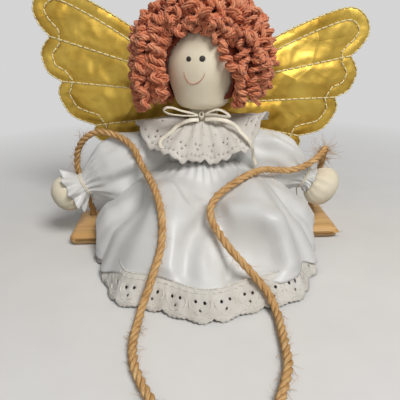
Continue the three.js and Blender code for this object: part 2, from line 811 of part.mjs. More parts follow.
function addWing(name, side) {
  const outline = wingOutline(side);
  const pocket = insetOutline(outline, wingCloth);
  const lining = insetOutline(outline, wingCloth + clearance);
  const coreFront = wingCloth + clearance;
  const backFront = coreFront + wingCore + clearance;
  const whole = wingLayer(outline, side, 0, wingThickness);
  const hollow = wingLayer(pocket, side, wingCloth, wingThickness);
  addPart(`${name}_wing_front`, geometryOf(whole.subtract(hollow)), "lame");
  addPart(`${name}_wing_core`, geometryOf(wingLayer(lining, side, coreFront, wingCore)), "batting");
  addPart(`${name}_wing_back`, geometryOf(wingLayer(lining, side, backFront, wingCloth)), "lame");
}

// Hanging twine: up from the seat behind each wrist, over the sleeves and lap, and round a bight on the floor

const twineRoute = [
  [-twineHoleX, twineHoleSetback, knotPocketDepth],
  [-twineHoleX, twineHoleSetback, seatTop + 4],
  [-83.5, 11, 28],
  [-86, 8, 45],
  [-83.5, 5, 58],
  [-77, 1, 67],
  [-67, -3, 72],
  [-57, -7, 71],
  [-48, -11, 67],
  [-43, -15, 62],
  [-40, -19, 56],
  [-36, -28, 52],
  [-32.5, -42, 52],
  [-29, -54, 50],
  [-26, -63.5, 43],
  [-25, -71.5, 35],
  [-26, -79, 26.5],
  [-29, -85, 19],
  [-32, -91, 11.5],
  [-35, -97, 5.5],
  [-36.5, -105, 2.8],
  [-37.5, -116, 2.4],
  [-37.5, -126, 2.4],
  [-35.5, -137, 2.4],
  [-32, -146, 2.4],
  [-28, -154, 2.4],
  [-23, -165, 2.4],
  [-14, -176, 2.4],
  [-3, -180, 2.4],
  [8, -176, 2.4],
  [17, -167, 2.4],
  [22, -156, 2.4],
  [26, -147, 2.4],
  [29, -138, 2.4],
  [30, -128, 2.4],
  [31, -115, 2.4],
  [31, -105, 3],
  [28.5, -97, 8],
  [21, -91, 16.5],
  [15.5, -86, 21.5],
  [10, -81, 26.5],
  [4.5, -73, 32.5],
  [1.5, -66, 36.5],
  [1.5, -59.5, 40.5],
  [5, -54, 44.5],
  [12, -50, 49],
  [21, -46, 53],
  [30, -36, 53],
  [38, -26, 51],
  [49, -19, 48],
  [56, -19, 48],
  [63, -19, 50],
  [70, -17, 53],
  [77, -11, 56],
  [82, -3, 57],
  [84, 6, 50],
  [83.5, 11, 36],
  [81, 12, 20],
  [twineHoleX, twineHoleSetback, seatTop + 4],
  [twineHoleX, twineHoleSetback, knotPocketDepth],
];

// Assembly

addPart("seat_board", drilledSeat(), "pine");
addPart("twine_knot_left", twineKnot(-1), "twine");
addPart("twine_knot_right", twineKnot(1), "twine");
addPart("torso", torsoGeometry(), "muslin");
addPart("bodice", wall(bodiceRings(bodiceOuter), bodiceRings(bodiceInner)), "satin");
addPart("skirt", skirtGeometry(), "satin");
addPart("hem_lace", laceGeometry(), "lace");

const insideSkirt = skirtBody(clothThickness + 3 * clearance);
const seatAndTorso = solidOf(torsoGeometry(clearance)).add(solidOf(seatBoard().translate(0, 0, clearance)));
addPart("left_leg", leg(-1, insideSkirt, seatAndTorso), "muslin");
addPart("right_leg", leg(1, insideSkirt, seatAndTorso), "muslin");

const dressed = solidOf(torsoGeometry(bodiceOuter + clearance)).add(skirtBody(-3 * clearance));
const arms = { left: armPath(leftHand), right: armPath(rightHand) };
for (const [name, arm] of Object.entries(arms)) {
  addPart(`${name}_arm`, geometryOf(armSolid(arm).subtract(dressed)), "muslin");
  const sleeve = sleeveSolid(arm).subtract(armSolid(arm, clearance)).subtract(dressed);
  addPart(`${name}_sleeve`, geometryOf(sleeve), "satin");
  addPart(`${name}_wrist_tie`, wristTie(arm), "ribbon");
}

addPart("collar_lace", wall(collarRings(0), collarRings(clothThickness)), "lace");
addPart("neck_ribbon", neckRibbon(), "ribbon");
addPart("bow_knot", ball(bowKnotMiddle, bowKnotRadius, bowKnotDepth, bowKnotRadius, 12, 8), "ribbon");
for (const [name, points] of Object.entries({ ...bowLoops, ...bowTails })) {
  addPart(name, cordGeometry(points, ribbonDiameter, bowSteps), "ribbon");
}

addPart("head", geometryOf(headSolid()), "muslin");
addPart("left_eye", eye(-1), "bead");
addPart("right_eye", eye(1), "bead");
addHair();

addWing("left", -1);
addWing("right", 1);

const route = twineRoute.map((point) => new THREE.Vector3(...point));
addPart("hanging_twine", cordGeometry(route, twineDiameter, twineSteps), "twine");

export default group;
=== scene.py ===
import math
import random
import bpy
import numpy as np
from mathutils import Matrix, Vector, noise
from mathutils.geometry import delaunay_2d_cdt


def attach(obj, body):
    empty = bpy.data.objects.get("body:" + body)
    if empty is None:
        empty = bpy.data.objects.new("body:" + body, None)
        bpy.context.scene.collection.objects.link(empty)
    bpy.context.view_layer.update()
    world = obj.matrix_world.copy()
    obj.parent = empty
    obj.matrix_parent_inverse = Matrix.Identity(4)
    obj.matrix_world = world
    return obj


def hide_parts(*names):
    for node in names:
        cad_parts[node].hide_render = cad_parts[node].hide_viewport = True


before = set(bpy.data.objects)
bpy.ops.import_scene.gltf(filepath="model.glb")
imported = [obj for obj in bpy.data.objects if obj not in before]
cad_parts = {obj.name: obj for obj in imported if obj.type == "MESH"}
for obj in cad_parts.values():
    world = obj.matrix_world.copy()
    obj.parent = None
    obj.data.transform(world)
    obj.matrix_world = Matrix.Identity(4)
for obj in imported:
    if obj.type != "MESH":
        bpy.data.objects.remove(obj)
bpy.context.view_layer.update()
mm = 0.001
turn = 2 * math.pi
doll = "seat_and_doll"
print("frame loaded with", len(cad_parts), "nodes")


def tint(red, green, blue):
    # a colour as seen on screen, as the linear value that a shader takes
    linear = [((c / 255 + 0.055) / 1.055) ** 2.4 for c in (red, green, blue)]
    return (*linear, 1)


def deselectAll():
    if bpy.context.object and bpy.context.object.mode != "OBJECT":
        bpy.ops.object.mode_set(mode="OBJECT")
    bpy.ops.object.select_all(action="DESELECT")


def pick(obj):
    deselectAll()
    obj.select_set(True)
    bpy.context.view_layer.objects.active = obj


def applyModifier(obj, kind, **settings):
    pick(obj)
    modifier = obj.modifiers.new(kind.lower(), kind)
    for key, value in settings.items():
        setattr(modifier, key, value)
    bpy.ops.object.modifier_apply(modifier=modifier.name)


def unit(rows):
    return rows / np.maximum(np.linalg.norm(rows, axis=-1, keepdims=True), 1e-9)


def ease(value):
    value = np.clip(value, 0, 1)
    return value * value * (3 - 2 * value)


def bell(value, middle, width):
    return np.exp(-(((value - middle) / width) ** 2))


def anglesRound(sides):
    return np.arange(sides) * turn / sides


def fromFront(angle):
    # degrees from the front, below nought on the left of the picture
    return (np.degrees(angle) + 180) % 360 - 180


def runAlong(line):
    # the distance gone at each point of a line
    return np.concatenate([[0], np.cumsum(np.linalg.norm(np.diff(line, axis=0), axis=1))])


def smoothPath(points, step):
    # a centripetal curve through the points, read off in even steps
    p = np.asarray(points, float)
    p = np.vstack([2 * p[0] - p[1], p, 2 * p[-1] - p[-2]])
    t = np.linspace(0, 1, 24, endpoint=False)[:, None]
    fine = []
    for a, b, c, d in zip(p, p[1:], p[2:], p[3:]):
        ga, gb, gc = (max(np.linalg.norm(v), 1e-6) ** 0.5 for v in (b - a, c - b, d - c))
        leave = ((b - a) / ga - (c - a) / (ga + gb) + (c - b) / gb) * gb
        enter = ((c - b) / gb - (d - b) / (gb + gc) + (d - c) / gc) * gb
        cubic = 2 * (b - c) + leave + enter
        fine.append(b + leave * t + (3 * (c - b) - 2 * leave - enter) * t**2 + cubic * t**3)
    fine = np.vstack([*fine, p[-2]])
    far = runAlong(fine)
    even = np.linspace(0, far[-1], max(4, round(far[-1] / step) + 1))
    return np.stack([np.interp(even, far, fine[:, k]) for k in range(3)], 1), even


def framesAlong(line, start):
    # directions across and up that turn with the line and no more
    along = unit(np.gradient(line, axis=0))
    across = np.empty_like(line)
    last = np.asarray(start, float)
    for i, heading in enumerate(along):
        last = unit(last - heading * last.dot(heading))
        across[i] = last
    return across, np.cross(along, across)


def uprightFrames(line):
    # directions along, up and across for a line that is nowhere steep, with up close to the vertical
    along = unit(np.gradient(line, axis=0))
    up = unit(np.array((0, 0, 1.0)) - along * along[:, 2:3])
    return along, up, np.cross(along, up)


def limbRings(line, angle, high, deep):
    # sections that stand upright on a limb's path
    _, up, across = uprightFrames(line)
    rings = line[:, None] + (np.cos(angle) * high)[..., None] * up[:, None]
    return rings + (np.sin(angle) * deep)[..., None] * across[:, None]


# Points, faces and a map that collect into one mesh

def newPile():
    return dict(points=[], faces=[], uv=[], count=0)


def addFaces(pile, faces, uv):
    pile["faces"].append(np.asarray(faces, dtype=np.int64))
    pile["uv"].append(np.asarray(uv, dtype=float).reshape(-1, 2))


def addPoints(pile, points):
    points = np.asarray(points, float).reshape(-1, 3)
    first = pile["count"]
    pile["points"].append(points)
    pile["count"] += len(points)
    return first


def addRings(pile, rings, far, capped=True):
    # a skin over rings that run counter-clockwise round the way ahead
    n, m = rings.shape[:2]
    ids = addPoints(pile, rings) + np.arange(n * m).reshape(n, m)
    beside = np.roll(ids, -1, axis=1)
    quads = np.stack([ids[:-1], beside[:-1], beside[1:], ids[1:]], -1).reshape(-1, 4)
    u = np.tile(np.arange(m) / m, (n - 1, 1))
    low, high = np.repeat(far[:-1, None], m, 1), np.repeat(far[1:, None], m, 1)
    corners = [(u, low), (u + 1 / m, low), (u + 1 / m, high), (u, high)]
    addFaces(pile, quads, np.stack([np.stack(c, -1) for c in corners], 2))
    if capped:
        for row, order in ((0, -1), (n - 1, 1)):
            middle = addPoints(pile, rings[row].mean(axis=0))
            fan = np.stack([np.full(m, middle), ids[row], beside[row]], -1)
            addFaces(pile, fan[:, [0, 2, 1]] if order < 0 else fan, np.full((m, 3, 2), (0.5, far[row])))


def addGrid(pile, grid, uv):
    # an open skin over rows that each close into a round
    n, m = grid.shape[:2]
    ids = addPoints(pile, grid) + np.arange(n * m).reshape(n, m)
    beside = np.roll(ids, -1, axis=1)
    quads = np.stack([ids[:-1], beside[:-1], beside[1:], ids[1:]], -1).reshape(-1, 4)
    uvBeside = np.roll(uv, -1, axis=1)
    addFaces(pile, quads, np.stack([uv[:-1], uvBeside[:-1], uvBeside[1:], uv[1:]], 2))


def buildPile(pile, name):
    mesh = bpy.data.meshes.new(name)
    points = np.concatenate(pile["points"]) * mm
    corners = np.concatenate([f.ravel() for f in pile["faces"]])
    sizes = np.concatenate([np.full(len(f), f.shape[1]) for f in pile["faces"]])
    mesh.vertices.add(len(points))
    mesh.vertices.foreach_set("co", points.ravel())
    mesh.loops.add(len(corners))
    mesh.polygons.add(len(sizes))
    mesh.polygons.foreach_set("loop_start", np.concatenate([[0], np.cumsum(sizes)[:-1]]))
    mesh.polygons.foreach_set("vertices", corners)
    mesh.uv_layers.new(name="surface").data.foreach_set("uv", np.concatenate(pile["uv"]).ravel())
    mesh.update(calc_edges=True)
    mesh.validate()
    mesh.polygons.foreach_set("use_smooth", np.ones(len(mesh.polygons), dtype=bool))
    obj = bpy.data.objects.new(name, mesh)
    bpy.context.collection.objects.link(obj)
    return obj


def readPoints(obj):
    co = np.empty(len(obj.data.vertices) * 3)
    obj.data.vertices.foreach_get("co", co)
    return co.reshape(-1, 3)


def addStrand(pile, line, outward, radius, sides, far, capped=True):
    # a round strand whose sections face the given outward directions
    heading = unit(np.gradient(line, axis=0))
    first = unit(outward - heading * np.sum(outward * heading, 1, keepdims=True))
    second = np.cross(heading, first)
    angle = anglesRound(sides)
    radius = np.broadcast_to(np.asarray(radius, float), (len(line),))[:, None, None]
    circle = np.cos(angle)[None, :, None] * first[:, None] + np.sin(angle)[None, :, None] * second[:, None]
    addRings(pile, line[:, None] + radius * circle, far, capped)


def addRope(pile, points, plies, plyRadius, plyOffset, pitch, step, sides, start=(0, 0, 1)):
    line, far = smoothPath(points, step)
    across, up = framesAlong(line, start)
    for k in range(plies):
        phase = turn * (far / pitch + k / plies)
        outward = np.cos(phase)[:, None] * across + np.sin(phase)[:, None] * up
        addStrand(pile, line + plyOffset * outward, outward, plyRadius, sides, far)
    return line


# Materials

def newMaterial(name, color, rough, **inputs):
    mat = bpy.data.materials.new(name)
    mat.use_nodes = True
    shader = mat.node_tree.nodes["Principled BSDF"]
    shader.inputs["Base Color"].default_value = color
    shader.inputs["Roughness"].default_value = rough
    for key, value in inputs.items():
        shader.inputs[key.replace("_", " ")].default_value = value
    return mat


def put(mat, kind, inputs, **settings):
    node = mat.node_tree.nodes.new("ShaderNode" + kind)
    for key, value in settings.items():
        setattr(node, key, value)
    for key, value in inputs.items():
        if isinstance(value, bpy.types.NodeSocket):
            mat.node_tree.links.new(value, node.inputs[key])
        else:
            node.inputs[key].default_value = value
    return node.outputs


def scaled(mat, source, scale, at=(0, 0, 0)):
    coords = put(mat, "TexCoord", {})[source]
    return put(mat, "Mapping", {"Vector": coords, "Scale": scale, "Location": at})["Vector"]


def noiseOf(mat, source, scale, detail=3, rough=0.5, distortion=0):
    inputs = {"Vector": scaled(mat, source, scale), "Scale": 1, "Detail": detail}
    return put(mat, "TexNoise", {**inputs, "Roughness": rough, "Distortion": distortion})["Fac"]


def ramp(mat, factor, *stops):
    node = mat.node_tree.nodes.new("ShaderNodeValToRGB")
    mat.node_tree.links.new(factor, node.inputs["Fac"])
    elements = node.color_ramp.elements
    while len(elements) < len(stops):
        elements.new(0.5)
    for element, (place, color) in zip(elements, stops):
        element.position = place
        element.color = color if len(color) == 4 else (*color, 1)
    return node.outputs["Color"]


def shade(mat, socket, value):
    mat.node_tree.links.new(value, mat.node_tree.nodes["Principled BSDF"].inputs[socket])


def colorBy(mat, factor, *stops):
    shade(mat, "Base Color", ramp(mat, factor, *stops))


def roughBy(mat, factor, low, high):
    shade(mat, "Roughness", ramp(mat, factor, (0.3, (low,) * 3), (0.7, (high,) * 3)))


def bump(mat, height, strength, distance, **base):
    inputs = {"Height": height, "Strength": strength, "Distance": distance, **base}
    shade(mat, "Normal", put(mat, "Bump", inputs)["Normal"])


def facets(mat, scale, at, lean):
    # flat patches that each lean their own way, as creased foil does
    cells = put(mat, "TexVoronoi", {"Vector": scaled(mat, "Object", scale, at), "Scale": 1})["Color"]
    away = put(mat, "VectorMath", {0: cells, 1: (0.5, 0.5, 0.5)}, operation="SUBTRACT")["Vector"]
    away = put(mat, "VectorMath", {0: away, "Scale": lean}, operation="SCALE")["Vector"]
    facing = put(mat, "NewGeometry", {})["Normal"]
    leaning = put(mat, "VectorMath", {0: facing, 1: away}, operation="ADD")["Vector"]
    return put(mat, "VectorMath", {0: leaning}, operation="NORMALIZE")["Vector"]


def math2(mat, operation, a, b):
    return put(mat, "Math", {0: a, 1: b}, operation=operation)["Value"]


def blend(mat, first, second, share):
    # a share of the first pattern and the rest of the second
    return math2(mat, "ADD", math2(mat, "MULTIPLY", first, share), math2(mat, "MULTIPLY", second, 1 - share))


def pineWood():
    mat = newMaterial("pineWood", tint(207, 160, 98), 0.5)
    grain = noiseOf(mat, "Object", (7, 260, 330), 4, 0.6, 0.4)
    streak = noiseOf(mat, "Object", (22, 1300, 1300))
    both = blend(mat, grain, streak, 0.75)
    colorBy(mat, both, (0.3, tint(190, 140, 80)), (0.45, tint(214, 168, 106)), (0.62, tint(231, 192, 134)))
    roughBy(mat, streak, 0.42, 0.62)
    bump(mat, both, 0.25, 0.0004)
    return mat


def juteTwine():
    mat = newMaterial("juteTwine", tint(190, 142, 84), 0.85)
    fibre = noiseOf(mat, "UV", (14, 0.12, 1), 4, 0.65)
    patch = noiseOf(mat, "Object", (160, 160, 160), 2)
    both = blend(mat, fibre, patch, 0.7)
    colorBy(mat, both, (0.3, tint(150, 105, 58)), (0.48, tint(206, 160, 102)), (0.68, tint(236, 204, 150)))
    bump(mat, fibre, 0.6, 0.0004)
    return mat


def weave(mat, period):
    # over and under threads, by waves that cross: the wave node counts 20 radians to a unit
    scale = turn / (20 * period)
    coords = put(mat, "TexCoord", {})["Object"]
    threads = [
        put(mat, "TexWave", {"Vector": coords, "Scale": scale, "Distortion": 0.6}, bands_direction=way)["Fac"]
        for way in ("X", "Z")
    ]
    return math2(mat, "MULTIPLY", *threads)


def muslin():
    mat = newMaterial("muslin", tint(228, 217, 192), 0.85, Sheen_Weight=0.15)
    patch = noiseOf(mat, "Object", (60, 60, 60), 4)
    colorBy(mat, patch, (0.3, tint(232, 220, 192)), (0.7, tint(244, 235, 212)))
    bump(mat, weave(mat, 0.0006), 0.25, 0.0001)
    return mat


def satin():
    mat = newMaterial("satin", tint(217, 217, 215), 0.34, Sheen_Weight=0.1, Specular_IOR_Level=0.55)
    patch = noiseOf(mat, "Object", (35, 35, 35))
    colorBy(mat, patch, (0.3, tint(210, 210, 208)), (0.7, tint(223, 223, 221)))
    crease = noiseOf(mat, "Object", (90, 90, 60), 4, 0.55, 0.8)
    roughBy(mat, crease, 0.36, 0.5)
    bump(mat, crease, 0.18, 0.0012)
    return mat


def eyeletLace():
    mat = newMaterial("eyeletLace", tint(212, 208, 200), 0.82, Sheen_Weight=0.1)
    patch = noiseOf(mat, "Object", (120, 120, 120), 4)
    colorBy(mat, patch, (0.3, tint(202, 197, 188)), (0.7, tint(220, 216, 209)))
    bump(mat, weave(mat, 0.0007), 0.35, 0.00015)
    return mat


def ribbonSatin():
    mat = newMaterial("ribbonSatin", tint(233, 226, 208), 0.45)
    rib = noiseOf(mat, "UV", (9, 0.3, 1))
    colorBy(mat, rib, (0.3, tint(222, 212, 190)), (0.7, tint(241, 236, 222)))
    bump(mat, rib, 0.25, 0.0002)
    return mat


def copperYarn():
    mat = newMaterial("copperYarn", tint(186, 92, 62), 0.8, Sheen_Weight=0.25)
    fibre = noiseOf(mat, "UV", (9, 0.35, 1), 4, 0.6)
    patch = noiseOf(mat, "Object", (130, 130, 130))
    both = blend(mat, fibre, patch, 0.65)
    colorBy(mat, both, (0.3, tint(166, 84, 52)), (0.48, tint(218, 126, 84)), (0.68, tint(250, 188, 146)))
    bump(mat, fibre, 0.5, 0.0003)
    return mat


def goldLame():
    mat = newMaterial("goldLame", tint(190, 152, 58), 0.32, Metallic=0.8)
    patch = noiseOf(mat, "Object", (30, 30, 30), 4, 0.6, 0.5)
    colorBy(mat, patch, (0.3, tint(168, 128, 38)), (0.7, tint(222, 190, 90)))
    crinkle = noiseOf(mat, "Object", (90, 90, 130), 4, 0.55, 1)
    roughBy(mat, crinkle, 0.36, 0.5)
    fine = math2(mat, "ADD", crinkle, math2(mat, "MULTIPLY", weave(mat, 0.0005), 0.08))
    bump(mat, fine, 0.2, 0.0015, Normal=facets(mat, (30, 30, 48), (0.5, 0.3, 0.4), 0.42))
    return mat


def plainThread(name, color, rough=0.6):
    mat = newMaterial(name, color, rough)
    fibre = noiseOf(mat, "Object", (700, 700, 700), 2)
    dark = tuple(c * 0.7 for c in color[:3])
    light = tuple(min(1, c * 1.15) for c in color[:3])
    colorBy(mat, fibre, (0.3, dark), (0.7, light))
    return mat


looks = dict(
    pine=pineWood(), twine=juteTwine(), muslin=muslin(), satin=satin(), lace=eyeletLace(),
    ribbon=ribbonSatin(), yarn=copperYarn(), lame=goldLame(),
    bead=plainThread("eyeInk", tint(44, 38, 34), 0.35),
    smile=plainThread("smileThread", tint(206, 140, 120)),
    stitch=plainThread("goldThread", tint(246, 230, 178), 0.5),
    # the shell under the curls: its colour, darker than the yarn, is painted shade between the curls
    curlShadeYarn=plainThread("curlShadeYarn", tint(126, 54, 30), 0.9),
    whiteThread=plainThread("whiteThread", tint(222, 218, 210)),
    batting=plainThread("batting", tint(238, 236, 230), 0.95),
)


def finishPiece(obj, look, body, *nodes):
    # its material, the body it rides on and the solids it stands for
    obj.data.materials.clear()
    obj.data.materials.append(looks[look])
    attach(obj, body)
    if nodes:
        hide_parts(*nodes)
    return obj


def pieceOf(pile, name, look, body, *nodes):
    return finishPiece(buildPile(pile, name), look, body, *nodes)


def clothOf(grid, uv, name, node, thick=0.5):
    # a round of satin, with its thickness inwards
    pile = newPile()
    addGrid(pile, grid, uv)
    cloth = buildPile(pile, name)
    applyModifier(cloth, "SOLIDIFY", thickness=thick * mm, offset=-1)
    return finishPiece(cloth, "satin", doll, node)


# Camera at the photograph's place

cameraPlace = dict(
    at=(-11.99, -278.52, 134.04), pitch=22, yaw=-2, roll=0.89782, focalPixels=430, imagePixels=400, sensor=36
)


def makeCamera():
    pitch, yaw, roll = (math.radians(cameraPlace[key]) for key in ("pitch", "yaw", "roll"))
    ahead = Vector((-math.sin(yaw) * math.cos(pitch), math.cos(yaw) * math.cos(pitch), -math.sin(pitch)))
    level = Vector((math.cos(yaw), math.sin(yaw), 0))
    down = ahead.cross(level)
    right = math.cos(roll) * level + math.sin(roll) * down
    down = math.cos(roll) * down - math.sin(roll) * level
    data = bpy.data.cameras.new("photoCamera")
    data.sensor_width = cameraPlace["sensor"]
    data.lens = cameraPlace["focalPixels"] * cameraPlace["sensor"] / cameraPlace["imagePixels"]
    data.clip_start = 0.01
    camera = bpy.data.objects.new("photoCamera", data)
    bpy.context.collection.objects.link(camera)
    turned = Matrix((right, -down, -ahead)).transposed().to_4x4()
    turned.translation = Vector(cameraPlace["at"]) * mm
    camera.matrix_world = turned
    bpy.context.scene.camera = camera


makeCamera()
print("camera placed")

# Hanging twine and the knots under the seat

twine = dict(diameter=4.5, strand=dict(plies=3, plyRadius=1.16, plyOffset=1.06, pitch=14, step=1.3, sides=8))
# loose fibres by place: their count, reach, thickness, the seed of their draw, and how much they curl
twineFuzz = dict(
    all=[(1100, 5.5, 0.09, 3, 0)],
    frayed=[(90, 13, 0.11, 5, 0), (26, 17, 0.1, 9, 0.28)],
    bend=[(40, 10, 0.1, 7, 0)],
)
twineRoute = [
    (-80, 12, 5), (-80, 12, 12), (-83.5, 11, 28), (-86, 8, 45), (-83.5, 5, 58), (-77, 1, 67), (-67, -3, 72),
    (-57, -7, 71), (-48, -11, 67), (-43, -15, 62), (-40, -19, 56), (-36, -28, 52), (-32.5, -42, 52),
    (-29, -54, 50), (-26, -63.5, 43), (-25, -71.5, 35), (-26, -79, 26.5), (-29, -85, 19), (-32, -91, 11.5),
    (-35, -97, 5.5), (-36.5, -105, 2.8), (-37.5, -116, 2.4), (-37.5, -126, 2.4), (-35.5, -137, 2.4),
    (-32, -146, 2.4), (-28, -154, 2.4), (-23, -165, 2.4), (-14, -176, 2.4), (-3, -180, 2.4), (8, -176, 2.4),
    (17, -167, 2.4), (22, -156, 2.4), (26, -147, 2.4), (29, -138, 2.4), (30, -128, 2.4), (31, -115, 2.4),
    (31, -105, 3), (28.5, -97, 8), (21, -91, 16.5), (15.5, -86, 21.5), (10, -81, 26.5), (4.5, -73, 32.5),
    (1.5, -66, 36.5), (1.5, -59.5, 40.5), (5, -54, 44.5), (12, -50, 49), (21, -46, 53), (30, -36, 53),
    (38, -26, 51), (49, -19, 48), (56, -19, 48), (63, -19, 50), (70, -17, 53), (77, -11, 56), (82, -3, 57),
    (84, 6, 50), (83.5, 11, 36), (81, 12, 20), (80, 12, 12), (80, 12, 5),
]


def addFibres(pile, line, count, reach, thickness, seed, curl):
    # loose fibres that leave the cord at a slant
    draw = random.Random(seed)
    heading = unit(np.gradient(line, axis=0))
    steps = 13 if curl else 4
    t = np.linspace(0, 1, steps)[:, None]
    taper = thickness * np.interp(t[:, 0], [0, 0.33, 0.67, 1], [1, 0.9, 0.7, 0.3])
    for _ in range(count):
        i = draw.randrange(2, len(line) - 2)
        side = unit(np.cross(heading[i], [draw.gauss(0, 1) for _ in range(3)]))
        way = unit(heading[i] * draw.choice((-1, 1)) * draw.uniform(0.6, 1.6) + side)
        length = draw.uniform(0.35, 1) * reach
        sag = np.array([draw.gauss(0, 0.25), draw.gauss(0, 0.25), draw.gauss(0, 0.2)])
        path = line[i] + side * 1.6 + way * length * t + sag * length * t**2
        if curl:
            coil = 7 * t + draw.uniform(0, turn)
            path = path + curl * length * t * (np.cos(coil) * side + np.sin(coil) * np.cross(way, side))
        path[:, 2] = np.maximum(path[:, 2], 0.3)
        addStrand(pile, path, np.tile(side, (steps, 1)), taper, 3, t[:, 0] * length)


def makeTwine():
    pile = newPile()
    line = addRope(pile, twineRoute, **twine["strand"])
    rope = pieceOf(pile, "hangingTwine", "twine", doll, "hanging_twine")
    places = dict(
        all=line,
        frayed=line[np.hypot(line[:, 0] - 82, line[:, 1]) < 11],
        bend=line[(line[:, 0] < -70) & (line[:, 2] > 40)],
    )
    fuzz = newPile()
    for place, kinds in twineFuzz.items():
        for kind in kinds:
            addFibres(fuzz, places[place], *kind)
    fibres = pieceOf(fuzz, "twineFibres", "twine", doll)
    length = runAlong(line)[-1] * mm
    return length


knot = dict(x=80, y=12, across=10.4, height=4.4, radius=1.5, rest=0.3,
            strand=dict(plies=3, plyRadius=0.82, plyOffset=0.68, pitch=7, step=0.7, sides=7))


def makeKnot(label, side):
    # a flattened overhand knot in its pocket
    t = np.linspace(0, turn, 90)
    wide = (knot["across"] / 2 - knot["radius"]) / 3
    tall = knot["height"] / 2 - knot["radius"]
    reach = wide * (2 + np.cos(3 * t))
    line = np.stack([reach * np.cos(2 * t), reach * np.sin(2 * t), tall * np.sin(3 * t)], 1)
    line += (side * knot["x"], knot["y"], knot["rest"] + knot["height"] / 2)
    pile = newPile()
    addRope(pile, line, **knot["strand"])
    pieceOf(pile, "twineKnot" + label, "twine", doll, f"twine_knot_{label.lower()}")


twineLength = makeTwine()
makeKnot("Left", -1)
makeKnot("Right", 1)
print("twine laid,", round(twineLength, 3), "m")

# Pine seat

seat = dict(length=180, depth=44, thickness=8, corner=4, edge=1, holeX=80, holeY=12, bore=5.5, pocket=11.6,
            sunk=5)


def selectEdges(obj, test):
    bpy.ops.object.mode_set(mode="EDIT")
    bpy.ops.mesh.select_all(action="DESELECT")
    bpy.ops.object.mode_set(mode="OBJECT")
    for edge in obj.data.edges:
        a, b = (obj.data.vertices[i].co / mm for i in edge.vertices)
        edge.select = test(a, b)
    bpy.ops.object.mode_set(mode="EDIT")
    bpy.ops.mesh.select_mode(type="EDGE")


def drillHole(board, x, y, across, top):
    # from a little below the board up to the given height
    bottom = -1
    bpy.ops.mesh.primitive_cylinder_add(
        vertices=40, radius=across / 2 * mm, depth=(top - bottom) * mm,
        location=(x * mm, y * mm, (bottom + top) / 2 * mm))
    drill = bpy.context.object
    applyModifier(board, "BOOLEAN", object=drill, operation="DIFFERENCE", solver="EXACT")
    bpy.data.objects.remove(drill)


def makeSeat():
    deselectAll()
    bpy.ops.mesh.primitive_cube_add(size=1, location=(0, 0, 0))
    board = bpy.context.object
    board.name = "seatBoard"
    board.scale = (seat["length"] * mm, seat["depth"] * mm, seat["thickness"] * mm)
    board.location = (0, 0, seat["thickness"] / 2 * mm)
    bpy.ops.object.transform_apply(location=True, rotation=True, scale=True)
    selectEdges(board, lambda a, b: abs(a.z - b.z) > 1)
    bpy.ops.mesh.bevel(offset=seat["corner"] * mm, segments=8, affect="EDGES")
    selectEdges(board, lambda a, b: abs(a.z - b.z) < 0.01)
    bpy.ops.mesh.bevel(offset=seat["edge"] * mm, segments=4, affect="EDGES")
    deselectAll()
    for side in (-1, 1):
        drillHole(board, side * seat["holeX"], seat["holeY"], seat["bore"], seat["thickness"] + 1)
        drillHole(board, side * seat["holeX"], seat["holeY"], seat["pocket"], seat["sunk"])
    pick(board)
    bpy.ops.object.shade_smooth_by_angle(angle=math.radians(35))
    finishPiece(board, "pine", doll, "seat_board")


makeSeat()
print("seat cut and drilled")

# Stuffed torso, with the bodice and skirt that follow it

torso = dict(bottom=8.3, height=74, halfWidth=26, halfDepth=21.5, setback=5, neckLean=8, rows=50, sides=48)
# share of the height, then the width, depth and forward lean there
torsoRows = np.array([
    [0, 0.74, 0.72, 0], [0.07, 0.95, 0.92, 0], [0.2, 1, 0.98, 0], [0.38, 0.92, 0.94, 0],
    [0.55, 0.84, 0.95, 0], [0.7, 0.84, 0.95, 0.05], [0.8, 0.72, 0.8, 0.3], [0.89, 0.5, 0.54, 0.7],
    [0.95, 0.308, 0.372, 1], [1, 0.308, 0.372, 1],
])


def torsoRings(heights, grow, sides):
    share = (np.asarray(heights) - torso["bottom"]) / torso["height"]
    wide, deep, lean = (np.interp(share, torsoRows[:, 0], torsoRows[:, k]) for k in (1, 2, 3))
    angle = anglesRound(sides)
    x = (wide * torso["halfWidth"] + grow)[:, None] * np.sin(angle)
    y = (torso["setback"] - lean * torso["neckLean"])[:, None]
    y = y - (deep * torso["halfDepth"] + grow)[:, None] * np.cos(angle)
    z = np.broadcast_to(np.asarray(heights)[:, None], x.shape)
    return np.stack([x, y, z], -1)


def softenRows(rings, rounds):
    # evens the corners between the rows of a loft
    for _ in range(rounds):
        rings[1:-1] = (rings[:-2] + 2 * rings[1:-1] + rings[2:]) / 4
    return rings


def makeTorso():
    heights = np.linspace(torso["bottom"], torso["bottom"] + torso["height"], torso["rows"])
    pile = newPile()
    addRings(pile, softenRows(torsoRings(heights, 0, torso["sides"]), 3), heights)
    body = pieceOf(pile, "stuffedTorso", "muslin", doll, "torso")


bodice = dict(bottom=49, top=75, grow=1.1, rows=26, sides=144, gathers=34, depth=0.6, blouse=3, blouseAt=56,
              girth=150)


